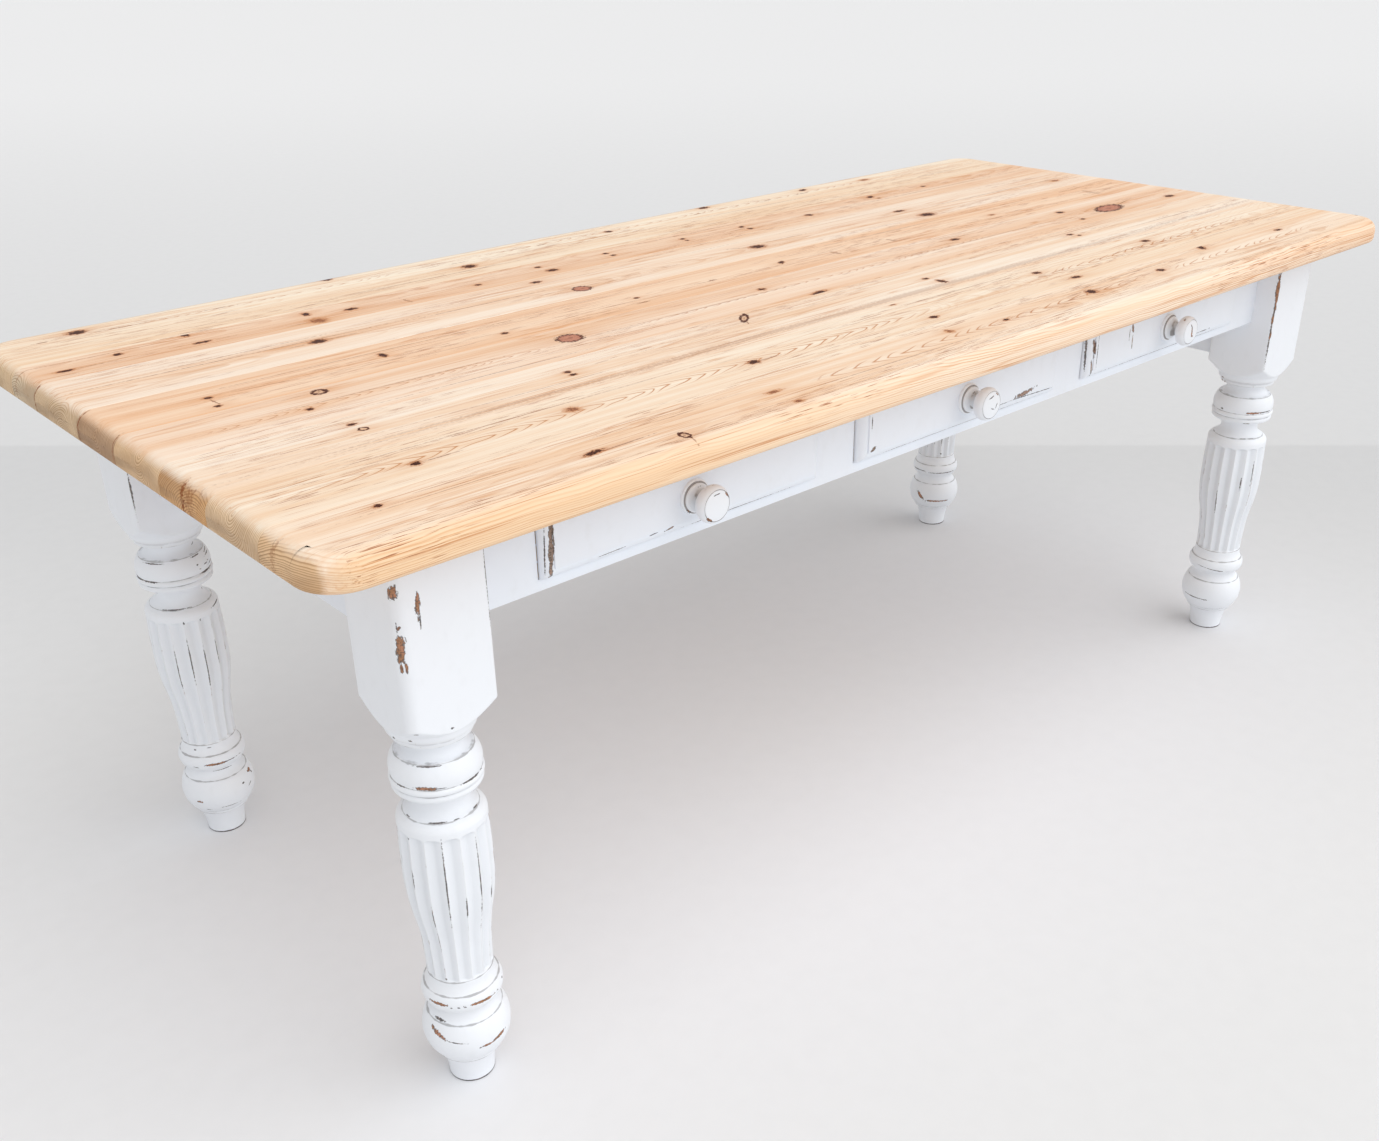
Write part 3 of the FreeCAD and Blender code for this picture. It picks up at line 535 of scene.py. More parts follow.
def boardShade(number, middle, high):
    # pine cut through as a solid: year rings round a heart line, seen wherever a face meets them
    board = top["boards"][number]
    seed = 3.7 * (number + 1)
    s = Shade("waxedPine%d" % (number + 1))
    shift, halo, endGrain = (s.attribute(name) for name in ("shift", "halo", "endGrain"))

    def tinted(part, name):
        return tuple(min(a * b, pine["brightest"]) for a, b in zip(board[part], pine[name]))

    # heart line: falls away by the taper, swings by the bow and wanders a little
    offset, depth = board["pith"]
    swing, length, phase = board["bow"]
    wander = s.noiseAt(s.vector(s.x * 1.6, seed), 2.0) - 0.5
    ripple = s.noise((6.0, 24.0, 24.0), (seed, 0.0, 0.0), 2.0) - 0.5
    peaks = s.noiseAt(s.vector(s.x * 17.0, s.y * 5.0, seed), 1.0) - 0.5
    wave = s.math("SINE", s.x * (2 * math.pi / (length * mm)) + phase)
    dy = s.y + shift - (middle + offset * mm) + wander * 0.030 + ripple * 0.006
    dz = s.z - (high + depth * mm) + s.x * board["taper"] + wave * (swing * mm) + ripple * 0.004
    dz = dz + peaks * (board["peaks"] * mm)
    rings = s.math("SQRT", dy * dy + dz * dz) * (1 / (board["pitch"] * mm))
    rings = rings + s.noiseAt(s.vector(rings * 0.35, seed, s.x * 0.4), 1.0) * 1.8
    part = s.math("FRACT", rings)
    late = s.step(part, 0.42, 0.90) * s.fall(part, 0.94, 1.0)
    ringTone = s.noiseAt(s.vector(s.math("FLOOR", rings), seed, s.x * 0.9), 1.0)
    patchy = s.noise((1.3, 14.0, 14.0), (3.0, seed, 2.0))
    lateShare = late * (s.step(ringTone, 0.34, 0.64, 0.30, 1.0) * s.step(patchy, 0.36, 0.62, 0.25, 1.0))
    lateShare = lateShare * s.step(s.z, high - 0.008, high - 0.0008, 1.60, board["rings"])

    # streaks along the grain, from a hand wide to a hair wide
    band = s.noise((0.75, 24.0, 24.0), (1.0, seed, 0.0), 2.0)
    streak = s.noise((1.8, 78.0, 78.0), (5.0, seed, 0.0), 3.0, 0.55)
    thread = s.noise((3.6, 230.0, 230.0), (seed, 0.0, 2.0), 3.0, 0.6)
    fibre = s.noise((9.0, 620.0, 620.0), (seed, 0.0, 0.0), 3.0, 0.6)
    orange = band * 2.2 + streak * 1.4 + (thread * 1.1 + fibre * 0.7) - 2.30
    orange = s.math("ADD", orange, lateShare * 0.40, clamp=True)
    body = s.mix(orange, tinted("wood", "cream"), tinted("wood", "amber"))
    front = s.fall(s.y, -0.470, -0.452) * s.step(s.x, -1.0, 0.3, 0.62, 0.0)
    body = s.mix(front, body, tinted("wood", "yellowed"))
    body = s.mix(lateShare * 0.55, body, tinted("wood", "lateWood"))

    # thin lines where a drawn-out noise crosses its middle: long loops and points, as in slab-cut grain
    loops = s.math("PINGPONG", s.noise((1.1, 34.0, 34.0), (7.0, seed, 1.0), 3.0, 0.45) * 8.0, 0.5)
    line = s.fall(loops, 0.0, 0.11) * s.step(patchy, 0.44, 0.58)
    body = s.mix(line * 0.50, body, tinted("wood", "loopLine"))

    # chains of arrow heads where a ring just grazes the face: x + 1.7 |y - y0|^1.25 repeats by the spacing
    for y0, x0, x1, halfWidth, spacing, heading, strength in board["chains"]:
        aside = s.math("ABSOLUTE", s.y - y0 * mm + ripple * 0.012)
        along = s.x * heading + s.math("POWER", aside * (1 / mm), 1.25) * (1.7 * mm) + peaks * 0.060
        chain = s.fall(s.math("PINGPONG", along * (1 / (spacing * mm)), 0.5), 0.02, 0.17)
        chain = chain * s.step(aside, halfWidth * mm, halfWidth * 0.4 * mm)
        reach = s.distance(s.place, ((x0 + x1) / 2 * mm, y0 * mm, high), ((x1 - x0) / 2 * mm, 0.2, 0.012))
        chain = chain * s.fall(reach + (patchy - 0.5) * 1.5, 0.75, 1.0)
        body = s.mix(chain * strength, body, tinted("wood", "arrowHead"))

    # hair lines, and short dark dashes where the grain runs out: a noise, where it shows, and both cuts
    flat = s.fall(s.math("ABSOLUTE", s.x), 0.978, 1.003)
    for name, strength, scale, shift, cut, zoneScale, zoneShift, zoneCut in (
            ("hair", 0.66, (4.2, 760.0, 760.0), (0.0, seed, 0.0), (0.59, 0.66),
             (1.4, 26.0, 26.0), (seed, 0.0, 5.0), (0.46, 0.58)),
            ("dash", 0.80, (26.0, 800.0, 800.0), (0.0, 2.0, seed), (0.595, 0.665),
             (2.6, 24.0, 24.0), (9.0, 0.0, seed), (0.50, 0.60))):
        zone = s.step(s.noise(zoneScale, zoneShift, 2.0), *zoneCut)
        line = s.step(s.noise(scale, shift, 2.0, 0.4), *cut) * (zone * flat)
        body = s.mix(line * strength, body, pine[name])

    # sawn ends drink up the finish and go darker
    stain = s.step(s.noise((14.0, 11.0, 30.0), (seed, 0.0, 0.0)), 0.35, 0.65)
    endColour = s.mix(stain, tinted("end", "endPale"), tinted("end", "endStained"))
    endColour = s.mix(late * 0.85, endColour, tinted("end", "endRing"))
    body = s.mix(endGrain * 0.9, body, endColour)

    ragged = s.noise((190.0, 300.0, 300.0), (seed, 0.0, 0.0), 3.0, 0.6) - 0.5
    body = s.mix(halo * 0.42, body, pine["halo"])
    for x, y, halfLength, halfWidth, strength, *turn in board["streaks"]:
        halves = (halfLength * mm, halfWidth * mm, 0.050)
        away = s.distance(s.place, (x * mm, y * mm, high), halves, sum(turn))
        away = away + (ragged + (thread - 0.5)) * 2.6
        body = s.mix(s.fall(away, 0.35, 1.10) * strength, body, pine["streak"])
    body = knotColours(s, body, board, high, ragged)

    normal = s.bump(late * -0.6 + fibre * 0.35, 0.00025, 0.55)
    normal = s.bump(s.noise((5.0, 9.0, 9.0), (0.0, 0.0, 6.0), 2.0), 0.0009, 0.5, normal)
    return s.finish(body, s.spread(fibre, 0.46, 0.58) + endGrain * 0.14, normal, Specular_IOR_Level=0.10)


def makeTop():
    boxes = [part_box("top_board_%d" % k) for k in range(1, 9)]
    top["halfLength"] = boxes[3][1].x / mm
    top["halfWidth"] = boxes[-1][1].y / mm
    top["low"], top["high"] = boxes[3][0].z / mm, boxes[3][1].z / mm
    for number, (lowest, highest) in enumerate(boxes):
        points = boardPoints(number, lowest.y / mm, highest.y / mm)
        rows, cols = points.shape[:2]
        shift, halo = knotFields(top["boards"][number], points)
        flat = points.reshape(-1, 3)
        quads = [tubeQuads(rows, cols)]
        half = cols // 2
        for row, turned in ((0, -1), (rows - 1, 1)):
            ring = np.arange(cols) + row * cols
            back = ring[::-1]
            fan = np.stack([ring[:half - 1], ring[1:half], back[1:half], back[:half - 1]], 1)
            quads.append(fan[:, ::turned])
        fromEnd = top["halfLength"] - np.abs(flat[:, 0])
        below = top["high"] - flat[:, 2]
        endGrain = smoothStep(below, 0.6, 9.0) * (1 - smoothStep(fromEnd, 10, 17))
        endGrain = np.maximum(endGrain, smoothStep(below, 0.2, 4.0) * (fromEnd < 3))
        attributes = [("shift", shift * mm), ("halo", halo), ("endGrain", endGrain)]
        addPiece("board%d" % (number + 1), [(flat * mm, np.concatenate(quads))],
                 boardShade(number, (lowest.y + highest.y) / 2, highest.z), "table",
                 ["top_board_%d" % (number + 1)], attributes)
    print("top laid:", len(boxes), "boards")


paint = {
    "white": (0.872, 0.900, 0.945),
    # painted light: a bluer copy of the white for the pieces under the top, to cancel the warm light bounced
    # off the wood
    "bounceCooledWhite": (0.850, 0.893, 0.962),
    "smudge": (0.72, 0.735, 0.755),
    "edgeTone": (0.60, 0.56, 0.53),
    "hollowShade": (0.52, 0.56, 0.60),
    "grooveDirtAndShade": (0.25, 0.23, 0.22),
    "stepShade": (0.20, 0.19, 0.19),
    "footContactShade": (0.06, 0.06, 0.065),
    "worn": ((0.15, 0.12, 0.11), (0.36, 0.24, 0.18)),
    "rubbed": ((0.045, 0.036, 0.034), (0.20, 0.145, 0.12)),
    "oldWood": ((0.40, 0.20, 0.105), (0.50, 0.24, 0.145)),
    "greyWood": ((0.30, 0.215, 0.165), (0.43, 0.285, 0.225)),
    "dirt": (0.085, 0.070, 0.064),
    "roughness": (0.42, 0.58),
}


def markField(s, place, marks):
    # distance to the nearest mark in its own half sizes
    # marks: two ends (across, up), half thickness; all in mm of the place
    away = []
    for across0, up0, across1, up1, half in marks:
        run = math.hypot(across1 - across0, up1 - up0) / 2
        centre = ((across0 + across1) / 2 * mm, (up0 + up1) / 2 * mm, 0.0)
        degrees = math.degrees(math.atan2(up1 - up0, across1 - across0)) if run > 0.01 else 0.0
        away.append(s.distance(place, centre, ((run + half) * mm, half * mm, 1.0), degrees))
    return s.least(away)


def paintShade(name, layOut=None, chips=(), rubsAndShadeLines=(), worn=False, steps=(), tone="white", wood="oldWood",
               lines=0.45):
    # white paint rubbed through to old wood
    # layOut gives the plane that the marks lie on, and where the wear is less
    # chips show bare wood inside a dark outline, and rubs are thin dark lines: rubbed paint, and painted
    # shade lines at steps, gaps and under overhangs
    # worn adds the wear of the piece's own edges, painted shade in its hollows and dark lines in its grooves,
    # partly dirt and partly painted shade, whose darkness is lines
    # steps are heights at which a thin line of painted shade lies in a turned step
    s = Shade(name)
    place, quiet = layOut(s) if layOut else (None, None)
    fine = s.noise(420.0, detail=4.0, roughness=0.6)
    middling = s.noise((70.0, 70.0, 40.0))
    fineOff, middlingOff = fine - 0.5, middling - 0.5
    colour = s.mix(s.step(s.noise((9.0, 9.0, 6.0)), 0.45, 0.80) * 0.10, paint[tone], paint["smudge"])
    colour = s.mix(s.step(middling, 0.52, 0.80) * 0.14, colour, paint["smudge"])
    through, bared = 0.0, 0.0

    if worn:
        edge, groove = s.attribute("edge"), s.attribute("groove")
        colour = s.mix(s.step(edge, 0.2, 1.0) * 0.12, colour, paint["edgeTone"])
        # painted shade in hollows: the flutes' bottoms and the knobs' necks go grey by their depth
        colour = s.mix(s.attribute("depth") * 0.21, colour, paint["hollowShade"])
        # dark broken lines in the grooves: dirt and painted shade
        line = s.step(groove + middlingOff * 1.9, 0.66, 0.92) * s.step(groove, 0.05, 0.3)
        colour = s.mix(line * lines, colour, paint["grooveDirtAndShade"])
        if steps:
            # painted shade: a thin dark line at each turned step
            near = s.least([s.math("ABSOLUTE", s.z - step * mm) for step in steps]) + middlingOff * 0.0026
            colour = s.mix(s.fall(near, 0.0001, 0.0009) * 0.60, colour, paint["stepShade"])
            # painted shadow: near black in the lowest two mm, where the foot meets the floor
            colour = s.mix(s.fall(s.z, 0.0010, 0.0022) * 0.85, colour, paint["footContactShade"])
        rubbed = edge + (middlingOff * 1.5 + fineOff * 0.6)
        if quiet is not None:
            rubbed = rubbed - quiet * 0.16
        rubbed = s.step(rubbed, 0.90, 0.98) * s.step(edge, 0.05, 0.3)
        colour = s.mix(rubbed * 0.85, colour, s.mix(s.step(fine, 0.42, 0.58), *paint["worn"]))
        through = rubbed * 0.6

    if rubsAndShadeLines:
        away = markField(s, place, rubsAndShadeLines) + (fineOff * 1.9 + middlingOff * 1.5)
        bared = s.fall(away, 0.62, 1.02)
        colour = s.mix(bared * 0.90, colour, s.mix(s.step(fine, 0.46, 0.60), *paint["rubbed"]))
    if chips:
        flakes = s.noise((330.0, 330.0, 120.0), roughness=0.7) - 0.5
        away = markField(s, place, chips) + (flakes * 2.6 + middlingOff * 1.6)
        bare = s.mix(s.step(middling, 0.42, 0.58), *paint[wood])
        bare = s.mix(s.step(fine, 0.47, 0.60) * 0.75, bare, paint["dirt"])
        colour = s.mix(s.fall(away, 1.06, 1.22) * 0.9, colour, paint["dirt"])
        opened = s.fall(away, 0.84, 0.98)
        colour = s.mix(opened, colour, bare)
        bared = s.most(bared, opened)

    normal = s.bump(middling * 0.14 + fine * 0.10 - through, 0.0006, 0.6)
    rough = s.most(through, bared) * 0.30 + s.spread(middling, *paint["roughness"])
    return s.finish(colour, rough, normal, Specular_IOR_Level=0.40)


leg = {
    "start": (28.0, 0.0),
    "foot": [(30.2, 23.0, 36.0, 43.0)],
    "lowerBall": [(40.0, 43.5), (40.0, 48.5), (43.0, 49.5), (53.5, 77.0, 46.5, 105.0), (44.5, 106.5)],
    "lowerNeck": [(38.5, 114.0, 40.0, 124.0), (43.5, 125.5)],
    "ankleRing": [(48.8, 137.0, 45.5, 149.5), (43.5, 150.5)],
    "ankleCove": [(40.5, 158.0, 40.0, 167.0), (39.4, 168.0)],
    "capStart": (51.3, 381.0),
    "cap": [(51.3, 387.0), (49.0, 392.5, 43.5, 396.5)],
    "upperNeck": [(42.0, 398.0), (31.5, 411.0, 44.0, 427.5)],
    "doubleBead": [(48.5, 428.5), (51.5, 433.0, 49.5, 437.5), (52.8, 441.8, 50.3, 446.2)],
    "upperBall": [(51.8, 455.0, 45.0, 474.0), (43.5, 475.5)],
    "collar": [(32.5, 484.0, 43.5, 495.5), (45.5, 496.5), (45.5, 503.0), (50.0, 505.0), (52.8, 516.0)],
    "spacing": 1.8,
    "steps": [0.6, 43.3, 49.0, 106.0, 125.0, 150.0, 167.8, 397.2, 427.9, 437.5, 446.4, 474.8, 496.0, 504.0],
    "vaseZ": (168.0, 196.0, 222.0, 242.0, 262.0, 285.0, 325.0, 381.0),
    "vaseR": (39.4, 40.4, 42.0, 44.6, 48.4, 51.4, 52.6, 51.2),
    "flutes": 16,
    "fluteDepth": 0.088,              # share of the ridge's radius
    "fluteEnd": 7.0,                  # length of the scooped end of a flute
    "fluteRound": 0.20,               # how round the bottom of the V is
    "square": 108.0,
    "pommel": ((52.8, 514.0), (78.0, 538.0)),
    "markRadius": 40.0,               # marks lie on a drum of this radius, unrolled
    "markSide": -120.0,               # the drum is cut open opposite this angle
}

# where each leg's flutes start, how round its corners are, and its marks
# corners go round from the one between +X and +Y
# marks: angle and height of both ends, half thickness
# among the rubs, the lines round the near side at 49 mm and 1 mm are painted shade: under the lower ball and
# where the foot meets the floor
legWearAndShade = {
    "leg_front_left": {
        "ridge": 11.25, "corners": (3.0, 3.0, 13.0, 3.0),
        "chips": [(-146, 449.5, -127, 449.5, 2.3), (-169, 97, -154, 91, 2.7), (-83, 77, -69, 79, 1.9),
                  (-170, 141, -144, 141, 1.7), (-137, 687, -136, 696, 2.6), (-118.2, 664, -117.2, 684, 1.5),
                  (-136.5, 620, -135, 641, 2.5), (-136, 652, -135, 655, 1.0), (-137, 604, -137, 612, 0.9),
                  (-133, 603, -133, 611, 0.9), (-110, 139.6, -70, 138.6, 1.5), (-102, 75, -89, 75, 1.5)],
        "rubsAndShadeLines": [(-45.5, 742, -45.3, 625, 0.5), (-117.5, 646, -117, 662, 0.5), (-137, 646, -137, 662, 0.5),
                 (-96, 521, -95, 521, 1.44), (-133, 528, -132, 528, 1.44), (-146, 509, -145, 509, 1.44),
                 (-172, 507, -171, 507, 1.44), (-153, 473.7, -103, 473.7, 0.72),
                 (-181, 446.6, -154, 446.6, 1.08), (-126, 449, -110, 448.4, 0.72), (-96, 446, -47, 446, 1.15),
                 (-188, 398, -176, 398, 0.5), (-140, 398, -114, 398, 0.55), (-104, 398, -90, 398, 0.5),
                 (-64, 398, -46, 398, 0.5), (-124, 378, -124, 259, 0.81), (-79, 378, -79, 257, 0.68),
                 (-169, 335, -169, 311, 0.74), (-57, 292, -57, 271, 0.68), (-101.5, 297, -101.5, 269, 0.74),
                 (-147, 292, -147, 258, 0.74), (-147, 250, -147, 216, 0.5), (-171, 377, -170, 377, 1.44),
                 (-147, 173, -146, 173, 1.6), (-139, 138, -137, 138, 0.94), (-129, 138.5, -127, 138, 0.94),
                 (-121, 138, -118, 138, 0.94), (-45, 143, -43, 143, 1.15), (-179, 108, -160, 108, 1.15),
                 (-154, 89, -119, 85, 0.86), (-170, 49, -70, 49, 0.72), (-160, 1, -60, 1, 0.86)],
    },
    "leg_back_left": {
        "ridge": 0.0, "corners": (3.0, 3.0, 3.0, 3.0),
        "chips": [(-124, 138, -96, 137, 1.7), (-45, 98, -40, 98, 2.2), (-149, 74, -144, 74, 1.8)],
        "rubsAndShadeLines": [(-76, 473, -55, 473, 1.08), (-166, 472.5, -122, 472.5, 0.72), (-72, 461, -71, 461, 1.15),
                 (-68, 453.5, -67, 453.5, 1.15), (-73, 446, -40, 446, 1.15), (-192, 446, -137, 446, 1.15),
                 (-31, 409, -29, 409, 1.6), (-179, 416, -177, 416, 1.6), (-152, 398, -80, 398, 0.6),
                 (-112.5, 356, -112.5, 284, 0.81), (-135, 339, -135, 265, 0.74), (-90, 335, -90, 262, 0.81),
                 (-67.5, 340, -67.5, 300, 0.62), (-146, 160, -144, 160, 1.44), (-135, 137, -60, 137, 1.08),
                 (-69, 89, -67, 89, 1.6), (-52, 482, -24, 484, 0.8), (-50, 466, -30, 468, 0.9),
                 (-56, 457, -50, 457, 1.0), (-47, 459, -44, 459, 1.1), (-50, 452, -20, 455, 1.0),
                 (-44, 437.5, -20, 438.5, 0.9), (-52, 430, -26, 432, 0.8), (-46, 470, -20, 473, 0.7),
                 (-60, 388, -30, 391, 1.0), (-85, 380, -84, 376, 0.9), (-112, 381, -111, 377, 0.9),
                 (-120, 163, -108, 163, 0.8), (-118, 120, -70, 119, 0.7), (-150, 135, -138, 133, 0.8),
                 (-40, 96, -36, 90, 1.2), (-58, 78, -50, 82, 1.2), (-120, 60, -80, 59, 0.7),
                 (-142, 58, -130, 56, 0.8), (-135, 742, -135, 640, 0.99), (-135, 625, -135, 560, 0.74),
                 (-170, 49, -70, 49, 0.86), (-160, 1, -60, 1, 1.01)],
    },
    "leg_front_right": {
        "ridge": 6.7, "corners": (3.0, 3.0, 4.0, 3.0),
        "chips": [(-143, 450, -116, 450, 1.6), (-135.5, 700, -134.5, 655, 1.4), (-135, 634, -135.5, 622, 0.8),
                  (-134, 606, -135, 596, 0.8)],
        "rubsAndShadeLines": [(-196, 451, -194, 451, 1.6), (-118, 450, -86, 450, 1.3), (-150, 430, -133, 430, 1.08),
                 (-174, 296, -174, 248, 0.81), (-131, 326, -131, 301, 0.81), (-108, 350, -108, 300, 0.62),
                 (-186, 137, -123, 131, 1.08), (-213, 71, -157, 71, 1.15), (-135, 742, -135, 542, 0.87),
                 (-150, 398, -112, 398, 0.5), (-170, 49, -90, 49, 0.94), (-160, 1, -60, 1, 1.15)],
    },
    "leg_back_right": {
        "ridge": 9.0, "corners": (3.0, 3.0, 3.0, 3.0),
        "chips": [(-155, 68, -107, 68, 1.8), (-179, 83, -166, 70, 3.2)],
        "rubsAndShadeLines": [(-209, 136, -168, 136, 1.3), (-160, 134, -80, 134, 1.15), (-126, 177, -125, 177, 1.76),
                 (-126, 240, -126, 196, 0.87), (-148, 250, -148, 200, 0.74), (-104, 250, -104, 205, 0.74),
                 (-150, 49, -90, 49, 0.94), (-160, 1, -60, 1, 1.15)],
    },
}


def turnedLeg(ridge):
    # radius r(angle, z): the turned outline, and between its halves a vase with V flutes
    # u runs from -1 to 1 across a flute and c is the round of its bottom; the hollow is
    # 1 - (sqrt(u^2 + c^2) - c) / (sqrt(1 + c^2) - c), and no more than 3 (1 - sqrt(u^2 + (1 - q)^2))
    # at its arched ends, where q goes from 0 to 1
    below = sampledOutline(leg["start"], leg["foot"] + leg["lowerBall"] + leg["lowerNeck"]
                           + leg["ankleRing"] + leg["ankleCove"], leg["spacing"])
    above = sampledOutline(leg["capStart"], leg["cap"] + leg["upperNeck"] + leg["doubleBead"]
                           + leg["upperBall"] + leg["collar"], leg["spacing"])
    low, high = leg["vaseZ"][0], leg["vaseZ"][-1]
    end = leg["fluteEnd"]
    between = np.concatenate([low + end * np.linspace(0, 1, 9)[1:-1], np.arange(low + end, high - end, 4.0),
                              high - end * np.linspace(1, 0, 13)[:-1]])
    radius = np.concatenate([below[:, 0], smoothCurve(between, leg["vaseZ"], leg["vaseR"]), above[:, 0]])
    height = np.concatenate([below[:, 1], between, above[:, 1]])
    u = np.array([-1, -0.95, -0.86, -0.70, -0.50, -0.30, -0.14, 0, 0.14, 0.30, 0.50, 0.70, 0.86, 0.95])
    turn = 2 * math.pi / leg["flutes"]
    flute = np.arange(leg["flutes"])[:, None]
    angles = math.radians(ridge) + ((flute + 0.5 + u[None, :] / 2) * turn).ravel()
    across = np.tile(u, leg["flutes"])[None, :]
    q = np.clip(np.minimum((height - low) / (end * 0.8), (high - height) / end), 0, 1)[:, None]
    c = leg["fluteRound"]
    hollow = 1 - (np.sqrt(across ** 2 + c ** 2) - c) / (math.sqrt(1 + c ** 2) - c)
    hollow += 0.05 * np.exp(-((1 - np.abs(across)) / 0.07) ** 2)
    hollow = np.minimum(hollow, 3 * (1 - np.sqrt(across ** 2 + (1 - q) ** 2)) + 0.02 * q)
    hollow = np.clip(hollow, 0, 1) * ((height > low) & (height < high))[:, None]
    whole = radius[:, None] * (1 - leg["fluteDepth"] * hollow)

    # edges that get rubbed: bulges of the outline, and the ridges; grooves: its hollows
    slopeR, slopeZ = np.gradient(radius), np.gradient(height)
    curve = np.gradient(np.unwrap(np.arctan2(slopeZ, slopeR))) / (np.hypot(slopeR, slopeZ) + 1e-6)
    kernel = np.exp(-(np.arange(-4, 5) / 1.6) ** 2)
    curve = np.convolve(curve, kernel / kernel.sum(), "same")
    fluted = ((height > low + 2) & (height < high - 2)).astype(float)
    bulge = smoothStep(curve, 0.05, 0.35) * (1 - fluted)
    groove = smoothStep(-curve, 0.10, 0.45) * (1 - fluted)
    ridges = smoothStep(np.abs(across), 0.80, 1.0) * fluted[:, None]
    edge = np.maximum(bulge[:, None] * 0.75, ridges * 0.90)
    points = np.stack([whole * np.cos(angles), whole * np.sin(angles), height[:, None] + 0 * whole], -1)
    # depth, the last field, is how deep a point lies in a flute, for the painted shade there
    return points, [edge, groove[:, None] + 0 * edge, np.clip(hollow, 0, 1) ** 0.8]


def squareLeg(corners):
    # the square with its corners rounded, no further out at any height than the pommel's turning
    half = leg["square"] / 2
    quarter = np.linspace(0, math.pi / 2, 7)
    sides, rounds = [], []
    for k, corner in enumerate(corners):
        flat = np.linspace(corners[k - 1] - half, half - corner, 26)[1:-1]
        bend = half - corner + corner * np.stack([np.cos(quarter), np.sin(quarter)], 1)
        run = np.concatenate([np.stack([0 * flat + half, flat], 1), bend])
        turn = k * math.pi / 2
        sides.append(run @ np.array([[math.cos(turn), math.sin(turn)], [-math.sin(turn), math.cos(turn)]]))
        rounds.append(np.full(len(run), corner))
    loop, rounds = np.concatenate(sides), np.concatenate(rounds)
    (lowR, lowZ), (highR, highZ) = leg["pommel"]
    height = np.concatenate([np.linspace(lowZ, highZ, 22), np.linspace(highZ, leg["top"], 50)[1:]])[:, None]
    limit = lowR + (height - lowZ) * (highR - lowR) / (highZ - lowZ)
    share = np.minimum(1, limit / np.linalg.norm(loop, axis=1))
    cornerness = smoothStep(2 * half - np.abs(loop).sum(1), rounds + 3.0, rounds * 0.3)
    edge = 0.60 * cornerness * smoothStep(height, highZ - 20, highZ)
    points = np.stack([loop[:, 0] * share, loop[:, 1] * share, height + 0 * share], -1)
    return points, [edge, 0 * edge, 0 * edge]


def capped(points):
    # closes both ends of a tube of rings with a fan of quads to its middle
    rows, cols = points.shape[:2]
    quads = [tubeQuads(rows, cols)]
    for row, middle, turned in ((0, rows * cols, -1), (rows - 1, rows * cols + 1, 1)):
        ring = np.arange(cols) + row * cols
        fan = [ring[0::2], np.roll(ring, -1)[0::2], np.roll(ring, -2)[0::2], 0 * ring[0::2] + middle]
        quads.append(np.stack(fan, 1)[:, ::turned])
    return np.concatenate([points.reshape(-1, 3), points[[0, -1]].mean(1)]), np.concatenate(quads)


def wearAndShadeOf(*tubes):
    # the wear and painted shade of capped tubes as attributes; the two middles of the caps have none
    names = ("edge", "groove", "depth")
    return [(name, np.concatenate([np.append(fields[k].ravel(), [0, 0]) for fields in tubes]))
            for k, name in enumerate(names)]


def legPaint(name, centre):
    # marks are placed on a drum round the leg: angle from markSide times markRadius, and height
    side = math.radians(leg["markSide"])
    scale = leg["markRadius"]

    def unrolled(s):
        x, y = s.x - float(centre[0]), s.y - float(centre[1])
        ahead = x * math.cos(side) + y * math.sin(side)
        angle = s.math("ARCTAN2", y * math.cos(side) - x * math.sin(side), ahead)
        quiet = s.fall(s.math("ABSOLUTE", angle), 1.15, 1.55)
        return s.vector(angle * (scale * mm), s.z), quiet

    def laid(kind):
        marks = np.array(legWearAndShade[name][kind], dtype=float)
        marks[:, [0, 2]] = np.radians(marks[:, [0, 2]] - leg["markSide"]) * scale
        return marks.tolist()

    return paintShade("rubbedPaint" + name.title().replace("_", ""), unrolled, laid("chips"), laid("rubsAndShadeLines"),
                      worn=True, steps=leg["steps"], lines=0.20)


def makeLegs():
    for name in sorted(legWearAndShade):
        lowest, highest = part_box(name)
        leg["top"] = highest.z / mm
        centre = np.array([(lowest.x + highest.x) / 2, (lowest.y + highest.y) / 2, 0.0])
        turned, turnedWearAndShade = turnedLeg(legWearAndShade[name]["ridge"])
        square, squareWearAndShade = squareLeg(legWearAndShade[name]["corners"])
        patches = [(p * mm + centre, q) for p, q in (capped(turned), capped(square))]
        addPiece(name.title().replace("_", "").replace("Leg", "leg"), patches, legPaint(name, centre),
                 "table", [name], wearAndShadeOf(turnedWearAndShade, squareWearAndShade))
    print("legs turned:", len(legWearAndShade))


knob = {
    # radius and how far out from the drawer front
    "start": (21.5, 0.0),
    "outline": [(21.5, 3.0), (19.6, 4.6), (17.8, 5.0), (17.8, 7.6), (15.8, 9.2), (10.6, 16.0, 14.5, 22.0),
                (20.8, 25.5), (23.0, 32.0, 20.8, 39.0), (19.6, 40.4), (19.1, 39.4), (18.5, 40.6),
                (10.0, 42.2, 2.0, 42.78)],
    "spacing": 0.5,
    "neck": (15.5, 8.0),              # where its painted shade is darkest, and how far that reaches
    # marks: x and z from the knob's middle at both ends, half thickness
    "wearAndShade": [
        {"chips": [(-15, -12, -10, -16, 1.5), (13, 12, 17, 7, 0.9)], "rubsAndShadeLines": [(-6, 14, 4, 15, 0.7)]},
        {"chips": [(8, 15, 12, 12, 0.8)],
         "rubsAndShadeLines": [(-8, 10, 2, 13, 1.0), (6, -6, 11, 2, 0.9), (-3, -4, 3, -6, 0.8)]},
        {"chips": [(-1, 6, 0, -5, 1.6), (0, -6, 5, -8, 1.2)], "rubsAndShadeLines": [(-4, 12, -1, 8, 1.2)]},
    ],
}


